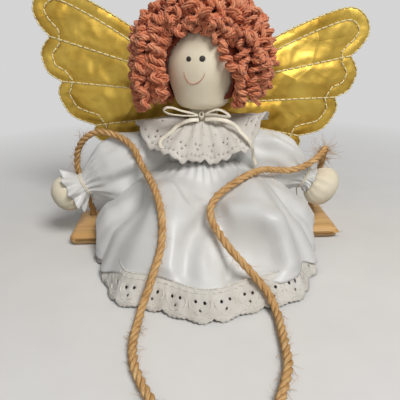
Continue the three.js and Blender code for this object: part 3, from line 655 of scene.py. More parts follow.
def makeBodice():
    heights = np.linspace(bodice["bottom"], bodice["top"], bodice["rows"])
    rings = softenRows(torsoRings(heights, bodice["grow"], bodice["sides"]), 2)
    angle = anglesRound(bodice["sides"])
    low = ease(1 - (heights - bodice["bottom"]) / 14)[:, None]
    fold = np.cos(bodice["gathers"] * angle + 1.5 * np.sin(3 * angle)) + 0.5 * np.cos(21 * angle + 1)
    blouse = bodice["blouse"] * bell(heights, bodice["blouseAt"], 4.5)[:, None]
    front = ease(0.55 + 0.6 * np.cos(angle))  # the back stays flat, clear of the wings
    push = (bodice["depth"] * low * fold + 0.4 * low + blouse) * front
    rings = rings + unit(rings - rings.mean(axis=1, keepdims=True)) * push[..., None]
    girth = np.linspace(0, bodice["girth"], bodice["sides"])
    uv = np.stack(np.broadcast_arrays(girth, heights[:, None]), -1)
    cloth = clothOf(rings, uv, "satinBodice", "bodice")


makeTorso()
makeBodice()
print("torso and bodice done")

# Skirt and its lace hem, over the bent legs

skirt = dict(waist=50, waistWide=24.2, waistDeep=22.8, hemGap=0.6, overhang=6, slope=1.5, folds=14,
             foldDepth=1.6, seatTop=8.3, lace=15, overLace=2.7, sides=288, rows=80, cutEase=1.03)
# degrees from the front, with the hem's reach or the cloth's lift over the legs there
hemReach = [(0, 112), (26, 106), (40, 96), (50, 83), (66, 78), (80, 71), (106, 70), (128, 50), (180, 34)]
legLift = [(0, 1), (27, 14), (60, 5), (90, -5), (180, 1)]
# raised folds: height, a line of degrees and share of the fall, the width left and right of it,
# and the dip on its right
skirtRidges = [
    (3.4, [(0, 0.3), (-6.9, 0.49), (-11.4, 0.6), (-12.9, 0.69), (-12.9, 0.78), (-12, 0.9)], 7, 2.2, 1),
    (3.4, [(20, 0.58), (24, 0.67), (26.5, 0.75), (24, 0.84), (18, 0.94)], 3, 8, 0),
    (2, [(-26, 0.3), (-15, 0.45), (-17, 0.62)], 5, 4, 0.5),
]
# swells and dents: height, degrees, share of the fall, and the width in each
skirtSwells = [
    (-2.4, 1, 0.4, 7, 0.16), (-2, 1, 0.71, 2.2, 0.08), (-1.6, 5.5, 0.84, 1.8, 0.1), (-6, -43, 0.58, 14, 0.12),
    (4.5, -72, 0.8, 20, 0.24), (4.5, 62, 0.8, 20, 0.24), (7, 0, 0.08, 55, 0.08),
]
# the hollow beside the right knee: by degrees, the share of the fall where it starts, and its depth
kneeHollow = dict(brow=4.6, start=[(3, 0.44), (12, 0.55), (20, 0.63), (26, 0.7)],
                  depth=[(8, 8), (16, 7), (20, 5.8), (26, 5.4)])


def readAround(rows, angle):
    # a value by the angle from the front, the same on both sides, eased between rows
    places, values = np.array(rows, float).T
    away = np.abs(fromFront(angle))
    k = np.clip(np.searchsorted(places, away) - 1, 0, len(places) - 2)
    share = ease((away - places[k]) / (places[k + 1] - places[k]))
    return values[k] + (values[k + 1] - values[k]) * share


def hemHeight(x, y):
    # the hem lies on the table, and on the board where it is over it
    outside = np.maximum(np.maximum(np.abs(x) - seat["length"] / 2, np.abs(y) - seat["depth"] / 2), 0)
    onSeat = 1 - ease((outside - skirt["overhang"]) / 8)
    return skirt["hemGap"] + onSeat * skirt["seatTop"]


def skirtPoint(angle, t):
    # the plain fall of the cloth: t runs from the waist to the hem
    angle, t = np.broadcast_arrays(np.asarray(angle, float), np.asarray(t, float))
    waist = 1 / np.hypot(np.sin(angle) / skirt["waistWide"], np.cos(angle) / skirt["waistDeep"])
    fold = skirt["foldDepth"] * t * t * np.cos(skirt["folds"] * angle + 0.6)
    reach = waist + (readAround(hemReach, angle) - waist) * t + fold
    x, y = reach * np.sin(angle), torso["setback"] - reach * np.cos(angle)
    hem = hemHeight(x, y)
    lift = readAround(legLift, angle) * np.sin(math.pi * np.clip(t, 0, 1)) ** 2
    fall = 1 - np.clip(t, 0, None) ** skirt["slope"]
    return np.stack([x, y, hem + (skirt["waist"] - hem) * fall + lift], -1)


def fallLength(angle):
    t = np.linspace(0, 1, 25)
    line = skirtPoint(np.asarray(angle)[..., None], t)
    return np.linalg.norm(np.diff(line, axis=-2), axis=-1).sum(-1)


def foldLine(side, t, rows, left, right, dip):
    places, shares = np.array(rows, float).T
    away = side - np.interp(t, shares, places)
    ends = ease((t - shares[0]) / 0.1) * ease((shares[-1] + 0.1 - t) / 0.1)
    ridge = bell(away, 0, np.where(away < 0, left, right))
    return ends * (ridge - dip * bell(away, 2 * right, 1.6 * right))


def kneeFold(side, t):
    # the cloth sinks beside the right knee, under a soft brow
    start = np.interp(side, *np.transpose(kneeHollow["start"]))
    depth = np.interp(side, *np.transpose(kneeHollow["depth"]))
    beside = ease((side - 2) / 5) * ease((27 - side) / 5)
    sunk = depth * beside * ease((t - start) / 0.17) * ease((0.98 - t) / 0.18)
    brow = ease((side - 5) / 7) * ease((36 - side) / 10) * bell(t, start - 0.04, 0.08)
    return kneeHollow["brow"] * brow - sunk


def skirtFolds(angle, t):
    # heights of the soft folds over the plain fall of the cloth
    side = fromFront(angle)
    gather = 0.9 * (1 - ease(t / 0.3)) * np.cos(40 * angle + 2 * np.sin(3 * angle))
    drape = 0.6 * ease(t / 0.5) * np.cos(9 * angle + 1.1 + 2 * t)
    folds = gather + drape + kneeFold(side, t)
    for height, *line in skirtRidges:
        folds = folds + height * foldLine(side, t, *line)
    for height, place, share, wide, tall in skirtSwells:
        folds = folds + height * bell(side, place, wide) * bell(t, share, tall)
    return folds


def laceCover(angle):
    # how much of the lace the puffed sides of the skirt hide
    side = fromFront(angle)
    left = 0.85 * ease((-side - 24) / 22) * ease((102 + side) / 12)
    right = (0.35 * ease((side - 14) / 8) + 0.5 * ease((side - 34) / 12)) * ease((100 - side) / 12)
    return left + right


def makeSkirt():
    angle = anglesRound(skirt["sides"])
    fall = fallLength(angle)
    seam = 1 - skirt["lace"] * (1 - laceCover(angle)) / fall
    t = np.linspace(0, 1, skirt["rows"])[:, None] * seam
    grid = skirtPoint(angle, t)
    across = np.roll(grid, -1, 1) - np.roll(grid, 1, 1)
    down = np.gradient(grid, axis=0)
    fade = ease((1 - t / seam) / 0.06) * 0.7 + 0.3
    over = skirt["overLace"] * laceCover(angle) * ease((t - 0.68) / 0.12)
    grid = grid + unit(np.cross(down, across)) * (skirtFolds(angle, t) * fade + over)[..., None]
    uv = np.stack(np.broadcast_arrays(angle * 80, t * fall), -1)
    cloth = clothOf(grid[::-1], uv[::-1], "satinSkirt", "skirt")


def triangulate(points, edges, least):
    flat, _, triangles, *_ = delaunay_2d_cdt(points, edges, [], 1, least)
    return np.array([(p.x, p.y) for p in flat]), np.array([t for t in triangles if len(t) == 3])


def repeatHoles(cluster, count, pitch):
    middles = [(k + 0.5) * pitch for k in range(count)]
    return [(middle + beside, down, radius) for middle in middles for beside, down, radius in cluster]


def cutLace(width, height, edge, holes, spacing):
    # flat lace with its holes: the points and the triangles
    points, edges = [], []

    def addLoop(loop):
        first = len(points)
        points.extend(Vector(p) for p in loop)
        edges.extend((first + i, first + (i + 1) % len(loop)) for i in range(len(loop)))

    columns = np.linspace(0, width, max(8, round(width / spacing) + 1))
    sideRows = np.linspace(0, height + edge(0), max(3, round(height / spacing)))
    border = [(u, 0) for u in columns]
    border += [(width, v) for v in sideRows[1:-1]]
    border += [(u, height + edge(u)) for u in np.linspace(width, 0, 4 * len(columns))]
    border += [(0, v) for v in sideRows[-2:0:-1]]
    addLoop(border)
    for u, v, r in holes:
        addLoop([(u + r * math.cos(a), v + r * math.sin(a)) for a in anglesRound(10)])
    centres = np.array([h[:2] for h in holes])
    radii = np.array([h[2] for h in holes])
    for j, v in enumerate(np.arange(spacing, height - 0.4 * spacing, spacing * 0.87)):
        for u in np.arange(spacing * (0.5 + 0.5 * (j % 2)), width - spacing * 0.4, spacing):
            if (np.hypot(centres[:, 0] - u, centres[:, 1] - v) > radii + 0.35 * spacing).all():
                points.append(Vector((u, v)))
    flat, triangles = triangulate(points, edges, 1e-5)
    middle = flat[triangles].mean(axis=1)
    away = np.hypot(middle[:, None, 0] - centres[None, :, 0], middle[:, None, 1] - centres[None, :, 1])
    return flat, triangles[(away > radii * 0.93).all(axis=1)]


def addRims(pile, holes, place, thickness, grow):
    # a corded rim round each hole
    for u, v, r in holes:
        a = np.linspace(0, turn, 13)
        ring = place(u + (r + grow) * np.cos(a), v + (r + grow) * np.sin(a))
        outward = unit(ring - ring[:-1].mean(axis=0))
        addStrand(pile, ring, outward, thickness, 5, a, capped=False)


laceRim = dict(thickness=0.28, grow=0.2)


def makeLace(name, width, height, edge, holes, spacing, place, thickness):
    flat, triangles = cutLace(width, height, edge, holes, spacing)
    pile = newPile()
    addPoints(pile, place(flat[:, 0], flat[:, 1]))
    addFaces(pile, triangles, flat[triangles])
    cloth = buildPile(pile, name)
    pick(cloth)
    bpy.ops.object.mode_set(mode="EDIT")
    bpy.ops.mesh.select_all(action="SELECT")
    bpy.ops.mesh.remove_doubles(threshold=0.02 * mm)
    bpy.ops.object.mode_set(mode="OBJECT")
    applyModifier(cloth, "SOLIDIFY", thickness=thickness * mm, offset=0)
    rims = newPile()
    addRims(rims, holes, place, **laceRim)
    return cloth, buildPile(rims, name + "Rims")


# a hole's place beside its cluster's middle and down the lace, and its radius; a cord's place and radius
hemLace = dict(clusters=36, holes=[(-2.3, 6.2, 0.8), (2.3, 6.2, 0.8), (0, 9.8, 0.65)],
               cords=[(0.2, 0.4), (2.4, 0.3), (13.2, 0.26)], leaf=0.45, scallopDepth=1.6, picots=5,
               picotDepth=0.5, spacing=1.5, thick=0.45)


def hemPlace():
    # the hem's length, the pitch of its scallops, and where a point of the flat lace comes to lie
    angle = np.linspace(0, turn, 721)
    fall = fallLength(angle)
    seam = 1 - skirt["lace"] / fall
    far = runAlong(skirtPoint(angle, 1 - 0.5 * skirt["lace"] / fall))
    width = far[-1]
    pitch = width / hemLace["clusters"]

    def place(u, v):
        a = np.interp(np.mod(u, width), far, angle)
        start, length = np.interp(a, angle, seam), np.interp(a, angle, fall)
        point = skirtPoint(a, start + v / length)
        wave = 0.4 * np.cos(turn * u / pitch * 1.5) * ease(v / 10)
        gather = 0.4 * np.cos(turn * u / 4.2 + 2 * np.sin(u / 17)) * (1 - ease(v / 11)) * ease(v / 1.5)
        point[..., 2] += wave + gather + 0.25
        return point

    return width, pitch, place


def makeHemSeam(width, pitch, place):
    # cords along the lace, and leaf stitches round its holes
    pile = newPile()
    run = np.linspace(0, width, 600)
    upward = np.array((0, 0, 1.0))
    for down, thick in hemLace["cords"]:
        line = place(run, np.full(len(run), down)) + 0.35 * upward
        addStrand(pile, line, np.tile(upward, (len(run), 1)), thick, 5, run, capped=False)
    t = np.linspace(0, 1, 6)
    swell = hemLace["leaf"] * np.sin(math.pi * (0.12 + 0.76 * t))
    leaves = [(4.4 + 1.4 * np.sin(math.pi * t), 5 + 5 * t), (0.6 + 2.6 * t, 12.2 - 1.6 * t * t)]
    for k in range(hemLace["clusters"]):
        for reach, down in leaves:
            for side in (-1, 1):
                leaf = place((k + 0.5) * pitch + side * reach, down) + 0.3 * upward
                addStrand(pile, leaf, np.tile(upward, (len(t), 1)), swell, 5, t)
    return pieceOf(pile, "hemSeam", "whiteThread", doll)


def makeHemLace():
    width, pitch, place = hemPlace()

    def edge(u):
        scallop = abs(math.sin(math.pi * u / pitch)) - 0.8
        picot = abs(math.sin(math.pi * u / pitch * hemLace["picots"])) - 0.6
        return hemLace["scallopDepth"] * scallop + hemLace["picotDepth"] * picot

    holes = repeatHoles(hemLace["holes"], hemLace["clusters"], pitch)
    cloth, rims = makeLace(
        "hemLace", width, skirt["lace"], edge, holes, hemLace["spacing"], place, hemLace["thick"])
    finishPiece(cloth, "lace", doll, "hem_lace")
    finishPiece(rims, "whiteThread", doll)
    seam = makeHemSeam(width, pitch, place)


makeSkirt()
makeHemLace()
print("skirt and hem lace sewn")

# Bent legs under the skirt: the share of the length and the leg's radius there
legRows = [
    (0, 2.64), (0.03, 5.456), (0.12, 7.92), (0.3, 8.8), (0.55, 8.096), (0.75, 4.8), (0.93, 4.56),
    (0.98, 2.88), (1, 0.96),
]
legs = dict(sides=32, step=1.6,
            route=[(14, -4, 20), (20.5, -32, 27), (27, -54, 28), (28, -66, 14), (29, -78, 6.3)])


def makeLeg(label, side):
    line, far = smoothPath(np.array(legs["route"], float) * (side, 1, 1), legs["step"])
    radius = np.interp(far / far[-1], *np.transpose(legRows))[:, None]
    pile = newPile()
    addRings(pile, limbRings(line, anglesRound(legs["sides"]), radius, radius), far)
    limb = pieceOf(pile, "stuffedLeg" + label, "muslin", doll, f"{label.lower()}_leg")


makeLeg("Left", -1)
makeLeg("Right", 1)
print("legs bent")

# Arms with ball hands, puffed sleeves gathered at the wrists

arms = dict(shoulder=(20, 5, 60.3), elbowRise=2, armRadius=6.2, wristRadius=5.2, handRadius=10.6, wristGap=2,
            hand=dict(left=(-91, -6, 31.5), right=(80.5, -6, 31.5)), handWide=dict(left=1.05, right=1.03),
            handTall=dict(left=1.14, right=1.3), wrinkles=17, wrinkleDepth=0.32, sides=72, step=0.8)


def armPath(which, side):
    hand = np.array(arms["hand"][which], float)
    shoulder = np.array(arms["shoulder"], float) * (side, 1, 1)
    elbow = (shoulder + hand) / 2 + (0, 0, arms["elbowRise"])
    back = unit(elbow - hand)
    return shoulder, elbow, hand + back * (arms["handRadius"] + arms["wristGap"]), hand, back


def makeArm(label, side):
    which, ball = label.lower(), arms["handRadius"]
    shoulder, elbow, wrist, hand, back = armPath(which, side)
    line, far = smoothPath([shoulder, elbow, wrist, hand, hand - back * ball], arms["step"])
    toTip = far[-1] - far
    palm = np.sqrt(np.maximum(ball**2 - (toTip - ball) ** 2, 0)) * (toTip < 1.85 * ball)
    places = [0, 1.8 * ball, 2.3 * ball, far[-1]]
    limb = np.interp(toTip, places, [0, 0, arms["wristRadius"], arms["armRadius"]]) * (toTip > 1.75 * ball)
    radius = np.maximum(np.maximum(palm, limb), 0.15)[:, None]
    angle = anglesRound(arms["sides"])
    near = (ease((toTip - 0.25 * ball) / (1.5 * ball)) * (toTip < 2.4 * ball))[:, None]
    pleat = np.cos(arms["wrinkles"] * angle + 2 * np.sin(2 * angle)) + 0.6 * np.cos(11 * angle + 1)
    swell = radius + arms["wrinkleDepth"] * near * pleat * np.minimum(radius / 5, 1)
    inHand = ease((2 * ball - toTip) / 3)[:, None]
    tall, wide = (1 + (arms[key][which] - 1) * inHand for key in ("handTall", "handWide"))
    pile = newPile()
    addRings(pile, softenRows(limbRings(line, angle, swell * tall, swell * wide), 2), far)
    arm = pieceOf(pile, "stuffedArm" + label, "muslin", doll, f"{which}_arm")


sleeve = dict(puff=19, depth=15, gathered=6.9, tieAt=0.882, tieGap=1.2, sides=144, step=0.9,
              cuff=dict(left=14, right=8.6), cuffLength=dict(left=9, right=4),
              flute=dict(left=2.6, right=0.7), sag=dict(left=10, right=7))
# share of the sleeve, with its height and depth there as shares of the puff
sleeveRows = [
    (0, 0.66, 0.8), (0.2, 0.85, 0.95), (0.4, 1, 1), (0.6, 0.94, 0.92), (0.72, 0.74, 0.76), (0.8, 0.52, 0.56),
]


def sleeveSizes(which, share):
    # half height and half depth, from the shoulder to the flared cuff
    rows = np.array(sleeveRows)
    gathered, cuff = sleeve["gathered"], sleeve["cuff"][which]
    places = [*rows[:, 0], 0.865, 0.9, 0.94, 1]
    sizes = []
    for column, full in ((1, sleeve["puff"]), (2, sleeve["depth"])):
        size = np.interp(share, places, [*(rows[:, column] * full), gathered, gathered, 0.8 * cuff, cuff])
        sizes.append(softenRows(size, 3)[:, None])
    return sizes


def sleeveFolds(which, side, share, angle):
    # gathers at the tie, broad folds, the ruffled cuff that is flatter behind, and the sag below
    ruffle = ease((share - 0.9) / 0.1)
    bend = 0.8 * np.sin(9 * share)
    gathers = 0.75 * bell(share, 0.8, 0.1) * np.cos(19 * angle + 2 * np.sin(2 * angle))
    broad = 1.5 * np.cos(5 * angle + 2.2 + bend + side) + 0.8 * np.cos(9 * angle - bend)
    flutes = sleeve["flute"][which] * np.cos(9 * angle + 1 + side) + 0.35 * np.cos(23 * angle)
    behind = np.maximum(0, -side * np.sin(angle)) ** 2
    flatter = 0.5 * (sleeve["cuff"][which] - sleeve["gathered"]) * behind
    sag = sleeve["sag"][which] * bell(share, 0.64, 0.16) * np.maximum(0, -np.cos(angle)) ** 1.5
    return gathers + broad * bell(share, 0.5, 0.25) + ruffle * (flutes - flatter) + sag


def makeSleeve(label, side):
    which = label.lower()
    cuffLength = sleeve["cuffLength"][which]
    shoulder, elbow, wrist, _, back = armPath(which, side)
    line, far = smoothPath([shoulder, elbow, wrist, wrist - back * cuffLength], sleeve["step"])
    share = np.interp(far, [0, far[-1] - cuffLength - sleeve["tieGap"], far[-1]], [0, sleeve["tieAt"], 1])
    angle = anglesRound(sleeve["sides"])
    high, deep = sleeveSizes(which, share)
    push = sleeveFolds(which, side, share[:, None], angle)
    rings = limbRings(line, angle, high + push, deep + push)
    uv = np.stack(np.broadcast_arrays(angle * 14, far[:, None]), -1)
    cloth = clothOf(rings, uv, "puffSleeve" + label, f"{which}_sleeve")
    makeWristTie(label, side, line, int(np.argmin(np.abs(share - sleeve["tieAt"]))))


wristTie = dict(cord=0.5, apart=0.5, over=0.9,
                tail=dict(plies=2, plyRadius=0.3, plyOffset=0.25, pitch=2, step=0.4, sides=5))


def makeWristTie(label, side, line, at):
    # two turns of cord round the gathered cloth, and a tail below
    along, up, across = (rows[at] for rows in uprightFrames(line))
    reach = sleeve["gathered"] + wristTie["over"]
    a = np.linspace(0, turn, 49)
    circle = reach * (np.cos(a)[:, None] * up + np.sin(a)[:, None] * across)
    tie = newPile()
    for lift in (-wristTie["apart"], wristTie["apart"]):
        ring = line[at] + along * lift + circle
        addStrand(tie, ring, unit(ring - line[at]), wristTie["cord"], 6, a * sleeve["gathered"], capped=False)
    low = line[at] - up * reach - across * side * 2
    tail = [low, low + (side * -0.5, -1.5, -3), low + (0, -2, -7)]
    addRope(tie, tail, start=(1, 0, 0), **wristTie["tail"])
    pieceOf(tie, "wristTie" + label, "ribbon", doll, f"{label.lower()}_wrist_tie")


for label, side in (("Left", -1), ("Right", 1)):
    makeArm(label, side)
    makeSleeve(label, side)
print("arms and sleeves done")

# Lace collar

collar = dict(neckY=-3, neckHeight=79.8, inner=11.8, reach=28, drop=22, rise=3, ruffles=9, flutes=17,
              width=180, length=27, spacing=1.4, thick=0.4)
# by degrees from the front: the edge's reach, the share of the drop, and the ruffles' height
collarEdge = [(0, 0), (50, 7), (95, 15), (135, 4), (180, -4)]
collarFall = [(0, 1), (45, 0.8), (90, 0.2), (180, 0.35)]
collarRuffle = [(0, 0.35), (40, 0.5), (70, 1.2), (120, 1), (180, 0.8)]
collarHoles = [(-1.5, 18, 0.5), (1.5, 18, 0.5), (0, 20.4, 0.45), (4.8, 13, 0.4)]
collarHoles += [(beside, 24, 0.36) for beside in (-3.6, -1.2, 1.2, 3.6)]


def collarPoint(angle, t):
    low = readAround(collarFall, angle)
    reach = collar["inner"] + (collar["reach"] + readAround(collarEdge, angle) - collar["inner"]) * t
    ruffle = collar["rise"] * readAround(collarRuffle, angle) * t * np.cos(collar["ruffles"] * angle + 0.9)
    crimp = 0.5 * (1 - ease(t / 0.5)) * np.cos(5 * collar["ruffles"] * angle)
    flutes = 0.9 * ease(t / 0.3) * np.cos(collar["flutes"] * angle + 2 * np.sin(2 * angle)) * low
    fall = collar["drop"] * low * np.clip(t, 0, None) ** 1.4
    stand = 8 * t * t * bell(np.degrees(angle), 78, 24)
    height = collar["neckHeight"] - fall + ruffle + crimp + flutes + stand
    return np.stack([reach * np.sin(angle), collar["neckY"] - reach * np.cos(angle), height], -1)


def makeCollar():
    width, length = collar["width"], collar["length"]
    pitch = width / (2 * collar["ruffles"])

    def place(u, v):
        return collarPoint(np.asarray(u) / width * turn, np.asarray(v) / length)

    def edge(u):
        return 1.2 * (abs(math.sin(math.pi * u / pitch * 2)) - 0.6)

    holes = repeatHoles(collarHoles, 2 * collar["ruffles"], pitch)
    cloth, rims = makeLace(
        "laceCollar", width, length, edge, holes, collar["spacing"], place, collar["thick"])
    finishPiece(cloth, "lace", doll, "collar_lace")
    finishPiece(rims, "whiteThread", doll)


makeCollar()
print("collar sewn")

# Neck ribbon and bow

bow = dict(neckRadius=9.6, neckY=-3, neckHeight=82.5, neckGap=0.12, wide=1.3, thick=0.45,
           knot=(-1, -15.92, 83.5), knotReach=1.7, knotTighter=0.1, knotDeep=1.28, knotWide=1.5)


def addRibbon(pile, points, start, wide=bow["wide"], step=0.8):
    # a flat ribbon whose width begins along start and turns with the path
    line, far = smoothPath(points, step)
    across, up = framesAlong(line, start)
    angle = anglesRound(10)
    flat = np.sign(np.cos(angle)) * np.abs(np.cos(angle)) ** 0.6 * wide
    thick = np.sign(np.sin(angle)) * np.abs(np.sin(angle)) ** 0.8 * bow["thick"]
    addRings(pile, line[:, None] + flat[:, None] * across[:, None] + thick[:, None] * up[:, None], far)
    return line


bowLoops = dict(
    Left=[(-2.4, -0.3, 0.6), (-5.9, -1.1, 1.8), (-11.9, -2.6, 3.5), (-17.8, -4.1, 5.8), (-21.3, -4.9, 6),
          (-22.8, -5.3, 4.5), (-20.3, -5.1, 2.6), (-13.2, -3.6, 1), (-6.5, -1.6, 0.1), (-2.4, -0.6, 0)],
    Right=[(2.4, -0.5, 1.2), (8.6, -2.6, 3.8), (12.7, -3.6, 3.1), (16.9, -4.6, -0.1), (13.8, -5.1, -0.2),
           (8.5, -4.1, 0.6), (3.8, -2.1, 0.6), (2.2, -0.8, 0.2)],
)
bowTails = dict(
    Left=[(-1.9, -1.2, -2.3), (-7.5, -2.6, -2.4), (-14.8, -0.5, -5.8), (-19.3, -2, -9.7), (-22.8, -2.2, -12),
          (-25.7, -3.1, -14.4), (-25, -8.9, -17.6)],
    Right=[(1.9, -1.2, -2.3), (8.5, -4.6, -1.6), (15.7, -5.2, -3), (20.7, -4.2, -6.2), (24, -5.6, -10),
           (28.3, -8.2, -14.4), (30.6, -7.2, -19.4), (32.5, 0, -27), (34.7, 0.8, -33)],
)


def makeBow():
    a = np.linspace(bow["neckGap"], turn - bow["neckGap"], 60)
    x, y = bow["neckRadius"] * np.sin(a), bow["neckY"] - bow["neckRadius"] * np.cos(a)
    ring = newPile()
    addRibbon(ring, np.stack([x, y, np.full(len(a), bow["neckHeight"])], 1), (0, 0, 1))
    pieceOf(ring, "neckRibbon", "ribbon", doll, "neck_ribbon")
    middle = np.array(bow["knot"])
    wound = 0.2 * np.arange(40)
    reach = bow["knotReach"] - bow["knotTighter"] * wound
    knotPile = newPile()
    wrap = np.stack([reach * np.cos(wound), bow["knotDeep"] * np.sin(wound), reach * np.sin(wound)], 1)
    addRibbon(knotPile, middle + wrap, (0, 1, 0), bow["knotWide"], 0.5)
    pieceOf(knotPile, "bowKnot", "ribbon", doll, "bow_knot")
    for label, points in bowLoops.items():
        pile = newPile()
        addRibbon(pile, middle + np.array(points), (0, 1, 0.2))
        pieceOf(pile, "bowLoop" + label, "ribbon", doll, f"bow_{label.lower()}_loop")
    for label, points in bowTails.items():
        pile = newPile()
        line = addRibbon(pile, middle + np.array(points), (0, 0.6, 0.8))
        tail = pieceOf(pile, "bowTail" + label, "ribbon", doll, f"bow_{label.lower()}_tail")


makeBow()
print("bow tied")

# Head and face

head = dict(center=(0, -6, 113), halfWidth=21.5, halfDepth=20.5, halfHeight=27, jaw=1, neckRadius=7.7,
            neckBottom=82.6, neckTop=96, neckY=-3, neckPleats=13, pleatDepth=0.25)
headCenter = np.array(head["center"], float)


def onHead(azimuth, rise, lift=0):
    # a point of the head's skin at degrees from the front and a height above its middle
    z = rise / head["halfHeight"]
    broad = 1 + head["jaw"] * max(0, -z) ** 6
    level = math.sqrt(max(0, 1 - z * z))
    a = math.radians(azimuth)
    x = (head["halfWidth"] * broad * level + lift) * math.sin(a)
    y = -(head["halfDepth"] * broad * level + lift) * math.cos(a)
    return headCenter + (x, y, rise)


def makeHead():
    deselectAll()
    bpy.ops.mesh.primitive_uv_sphere_add(segments=64, ring_count=48, radius=1)
    ball = bpy.context.object
    ball.name = "stuffedHead"
    co = readPoints(ball)
    co[:, :2] *= 1 + head["jaw"] * np.maximum(0, -co[:, 2:]) ** 6
    co = co * (head["halfWidth"], head["halfDepth"], head["halfHeight"]) + headCenter
    ball.data.vertices.foreach_set("co", (co * mm).ravel())
    ball.data.update()
    heights = np.linspace(head["neckBottom"], head["neckTop"], 12)
    a = anglesRound(40)
    radius = head["neckRadius"] + head["pleatDepth"] * np.cos(head["neckPleats"] * a)
    x, y = radius * np.sin(a), head["neckY"] - radius * np.cos(a)
    neck = newPile()
    addRings(neck, np.stack(np.broadcast_arrays(x, y, heights[:, None]), -1), heights)
    stub = buildPile(neck, "neckStub")
    applyModifier(ball, "BOOLEAN", object=stub, operation="UNION", solver="EXACT")
    bpy.data.objects.remove(stub)
    pick(ball)
    bpy.ops.object.shade_smooth()
    finishPiece(ball, "muslin", "head", "head")


# eyes as degrees from the front, rise and radius, and the smile as degrees and rise
face = dict(eyes=[(-22.6, 4.1, 1.45), (-1.6, 4.2, 1.7)], smileWidth=0.3,
            smile=[(-31.2, -3.2), (-30.4, -5.3), (-27.7, -7.5), (-23.6, -9.2), (-18.2, -9.8), (-11.6, -9.3),
                   (-5.2, -7.9), (-0.4, -5.7), (2.2, -3.5)])


def makeFace():
    for label, (azimuth, rise, radius) in zip(("Left", "Right"), face["eyes"]):
        deselectAll()
        bpy.ops.mesh.primitive_uv_sphere_add(segments=24, ring_count=14, radius=radius * mm)
        dot = bpy.context.object
        dot.name = "dotEye" + label
        outward = Vector(onHead(azimuth, rise, 1) - onHead(azimuth, rise))
        dot.scale = (1, 1, 0.28)
        dot.rotation_euler = outward.to_track_quat("Z", "Y").to_euler()
        dot.location = Vector(onHead(azimuth, rise, 0.15)) * mm
        bpy.ops.object.transform_apply(location=True, rotation=True, scale=True)
        bpy.ops.object.shade_smooth()
        finishPiece(dot, "bead", "head", f"{label.lower()}_eye")
    pile = newPile()
    points = [onHead(azimuth, rise, 0.1) for azimuth, rise in face["smile"]]
    line, far = smoothPath(points, 0.5)
    outward = unit(line - headCenter)
    taper = face["smileWidth"] * (0.55 + 0.45 * np.sin(math.pi * far / far[-1]))
    addStrand(pile, line, outward, taper, 6, far)
    pieceOf(pile, "smileStitch", "smile", "head")


makeHead()
makeFace()
print("head and face done")

# Yarn hair: loose corkscrew curls over a dark shell, whose colour is painted shade between the curls

hair = dict(plies=4, plyRadius=0.74, plyOffset=0.95, twist=12, step=0.48, sides=5, wobble=1.3, seed=11,
            baseLift=3, base=1.2, baseLow=-20, faceX=-2.5, faceRise=-5, faceWide=20, faceTall=24)


def overHead(azimuth, polar, lift):
    # a point at a lift over the head, by degrees from the front and from the crown
    a, p = math.radians(azimuth), math.radians(polar)
    return headCenter + (
        (head["halfWidth"] + lift) * math.sin(p) * math.sin(a),
        -(head["halfDepth"] + lift) * math.sin(p) * math.cos(a),
        (head["halfHeight"] + lift - 3) * math.cos(p),
    )


def addCurl(pile, draw, path, coil, pitch):
    # a corkscrew of plied yarn, unevenly wound round a swaying path
    line, far = smoothPath(path, hair["step"])
    sway = [draw.uniform(0, turn) for _ in range(9)]
    drift = [np.sin(far / 3.6 + sway[k]) + 0.6 * np.sin(far / 7 + sway[k + 3]) for k in range(3)]
    line = line + hair["wobble"] * np.stack(drift, 1) * ease(far / 5)[:, None]
    across, up = framesAlong(line, (draw.gauss(0, 1), draw.gauss(0, 1), draw.gauss(0, 1)))
    ends = np.minimum(far, far[-1] - far)
    reach = coil * (0.45 + 0.55 * ease(ends / 5))
    reach = reach * (1 + 0.22 * np.sin(far / 4.1 + sway[6]) + 0.14 * np.sin(far / 1.9 + sway[7]))
    local = pitch * (1 + 0.28 * np.sin(far / 6 + sway[8]))
    angle = draw.choice((-1, 1)) * turn * np.cumsum(hair["step"] / local) + sway[0]
    outward = np.cos(angle)[:, None] * across + np.sin(angle)[:, None] * up
    coiled = line + reach[:, None] * outward
    run = runAlong(coiled)
    heading = unit(np.gradient(coiled, axis=0))
    first = unit(outward - heading * np.sum(outward * heading, 1, keepdims=True))
    second = np.cross(heading, first)
    for k in range(hair["plies"]):
        twist = turn * (run / hair["twist"] + k / hair["plies"])
        way = np.cos(twist)[:, None] * first + np.sin(twist)[:, None] * second
        addStrand(pile, coiled + hair["plyOffset"] * way, way, hair["plyRadius"], hair["sides"], run)


def hangingCurl(pile, draw, azimuth, lift, polars, drop, loose=0):
    # a curl beside the face drifts away from it, and one near the wings away from them
    drift = draw.uniform(-9, 9)
    side = (azimuth + 180) % 360 - 180
    if abs(side) < 75:
        drift = math.copysign(drift, side)
    elif abs(side) < 130:
        drift = math.copysign(drift, -side)
    path = [overHead(azimuth + drift * k + draw.uniform(-3, 3), polar, lift + draw.uniform(-1.2, 1.2))
            for k, polar in enumerate(polars)]
    low = path[-1].copy()
    low[2] = headCenter[2] - drop
    inward = unit(headCenter - low) * draw.uniform(0, 5)
    x, y = inward[0] + draw.gauss(0, 1.5), inward[1] + draw.gauss(0, 1.5)
    path.append(low + (x, y, draw.uniform(-2.5, 2.5)))
    addCurl(pile, draw, path, draw.uniform(1.4, 2.3 + 0.4 * loose), draw.uniform(4.2, 6 + loose))


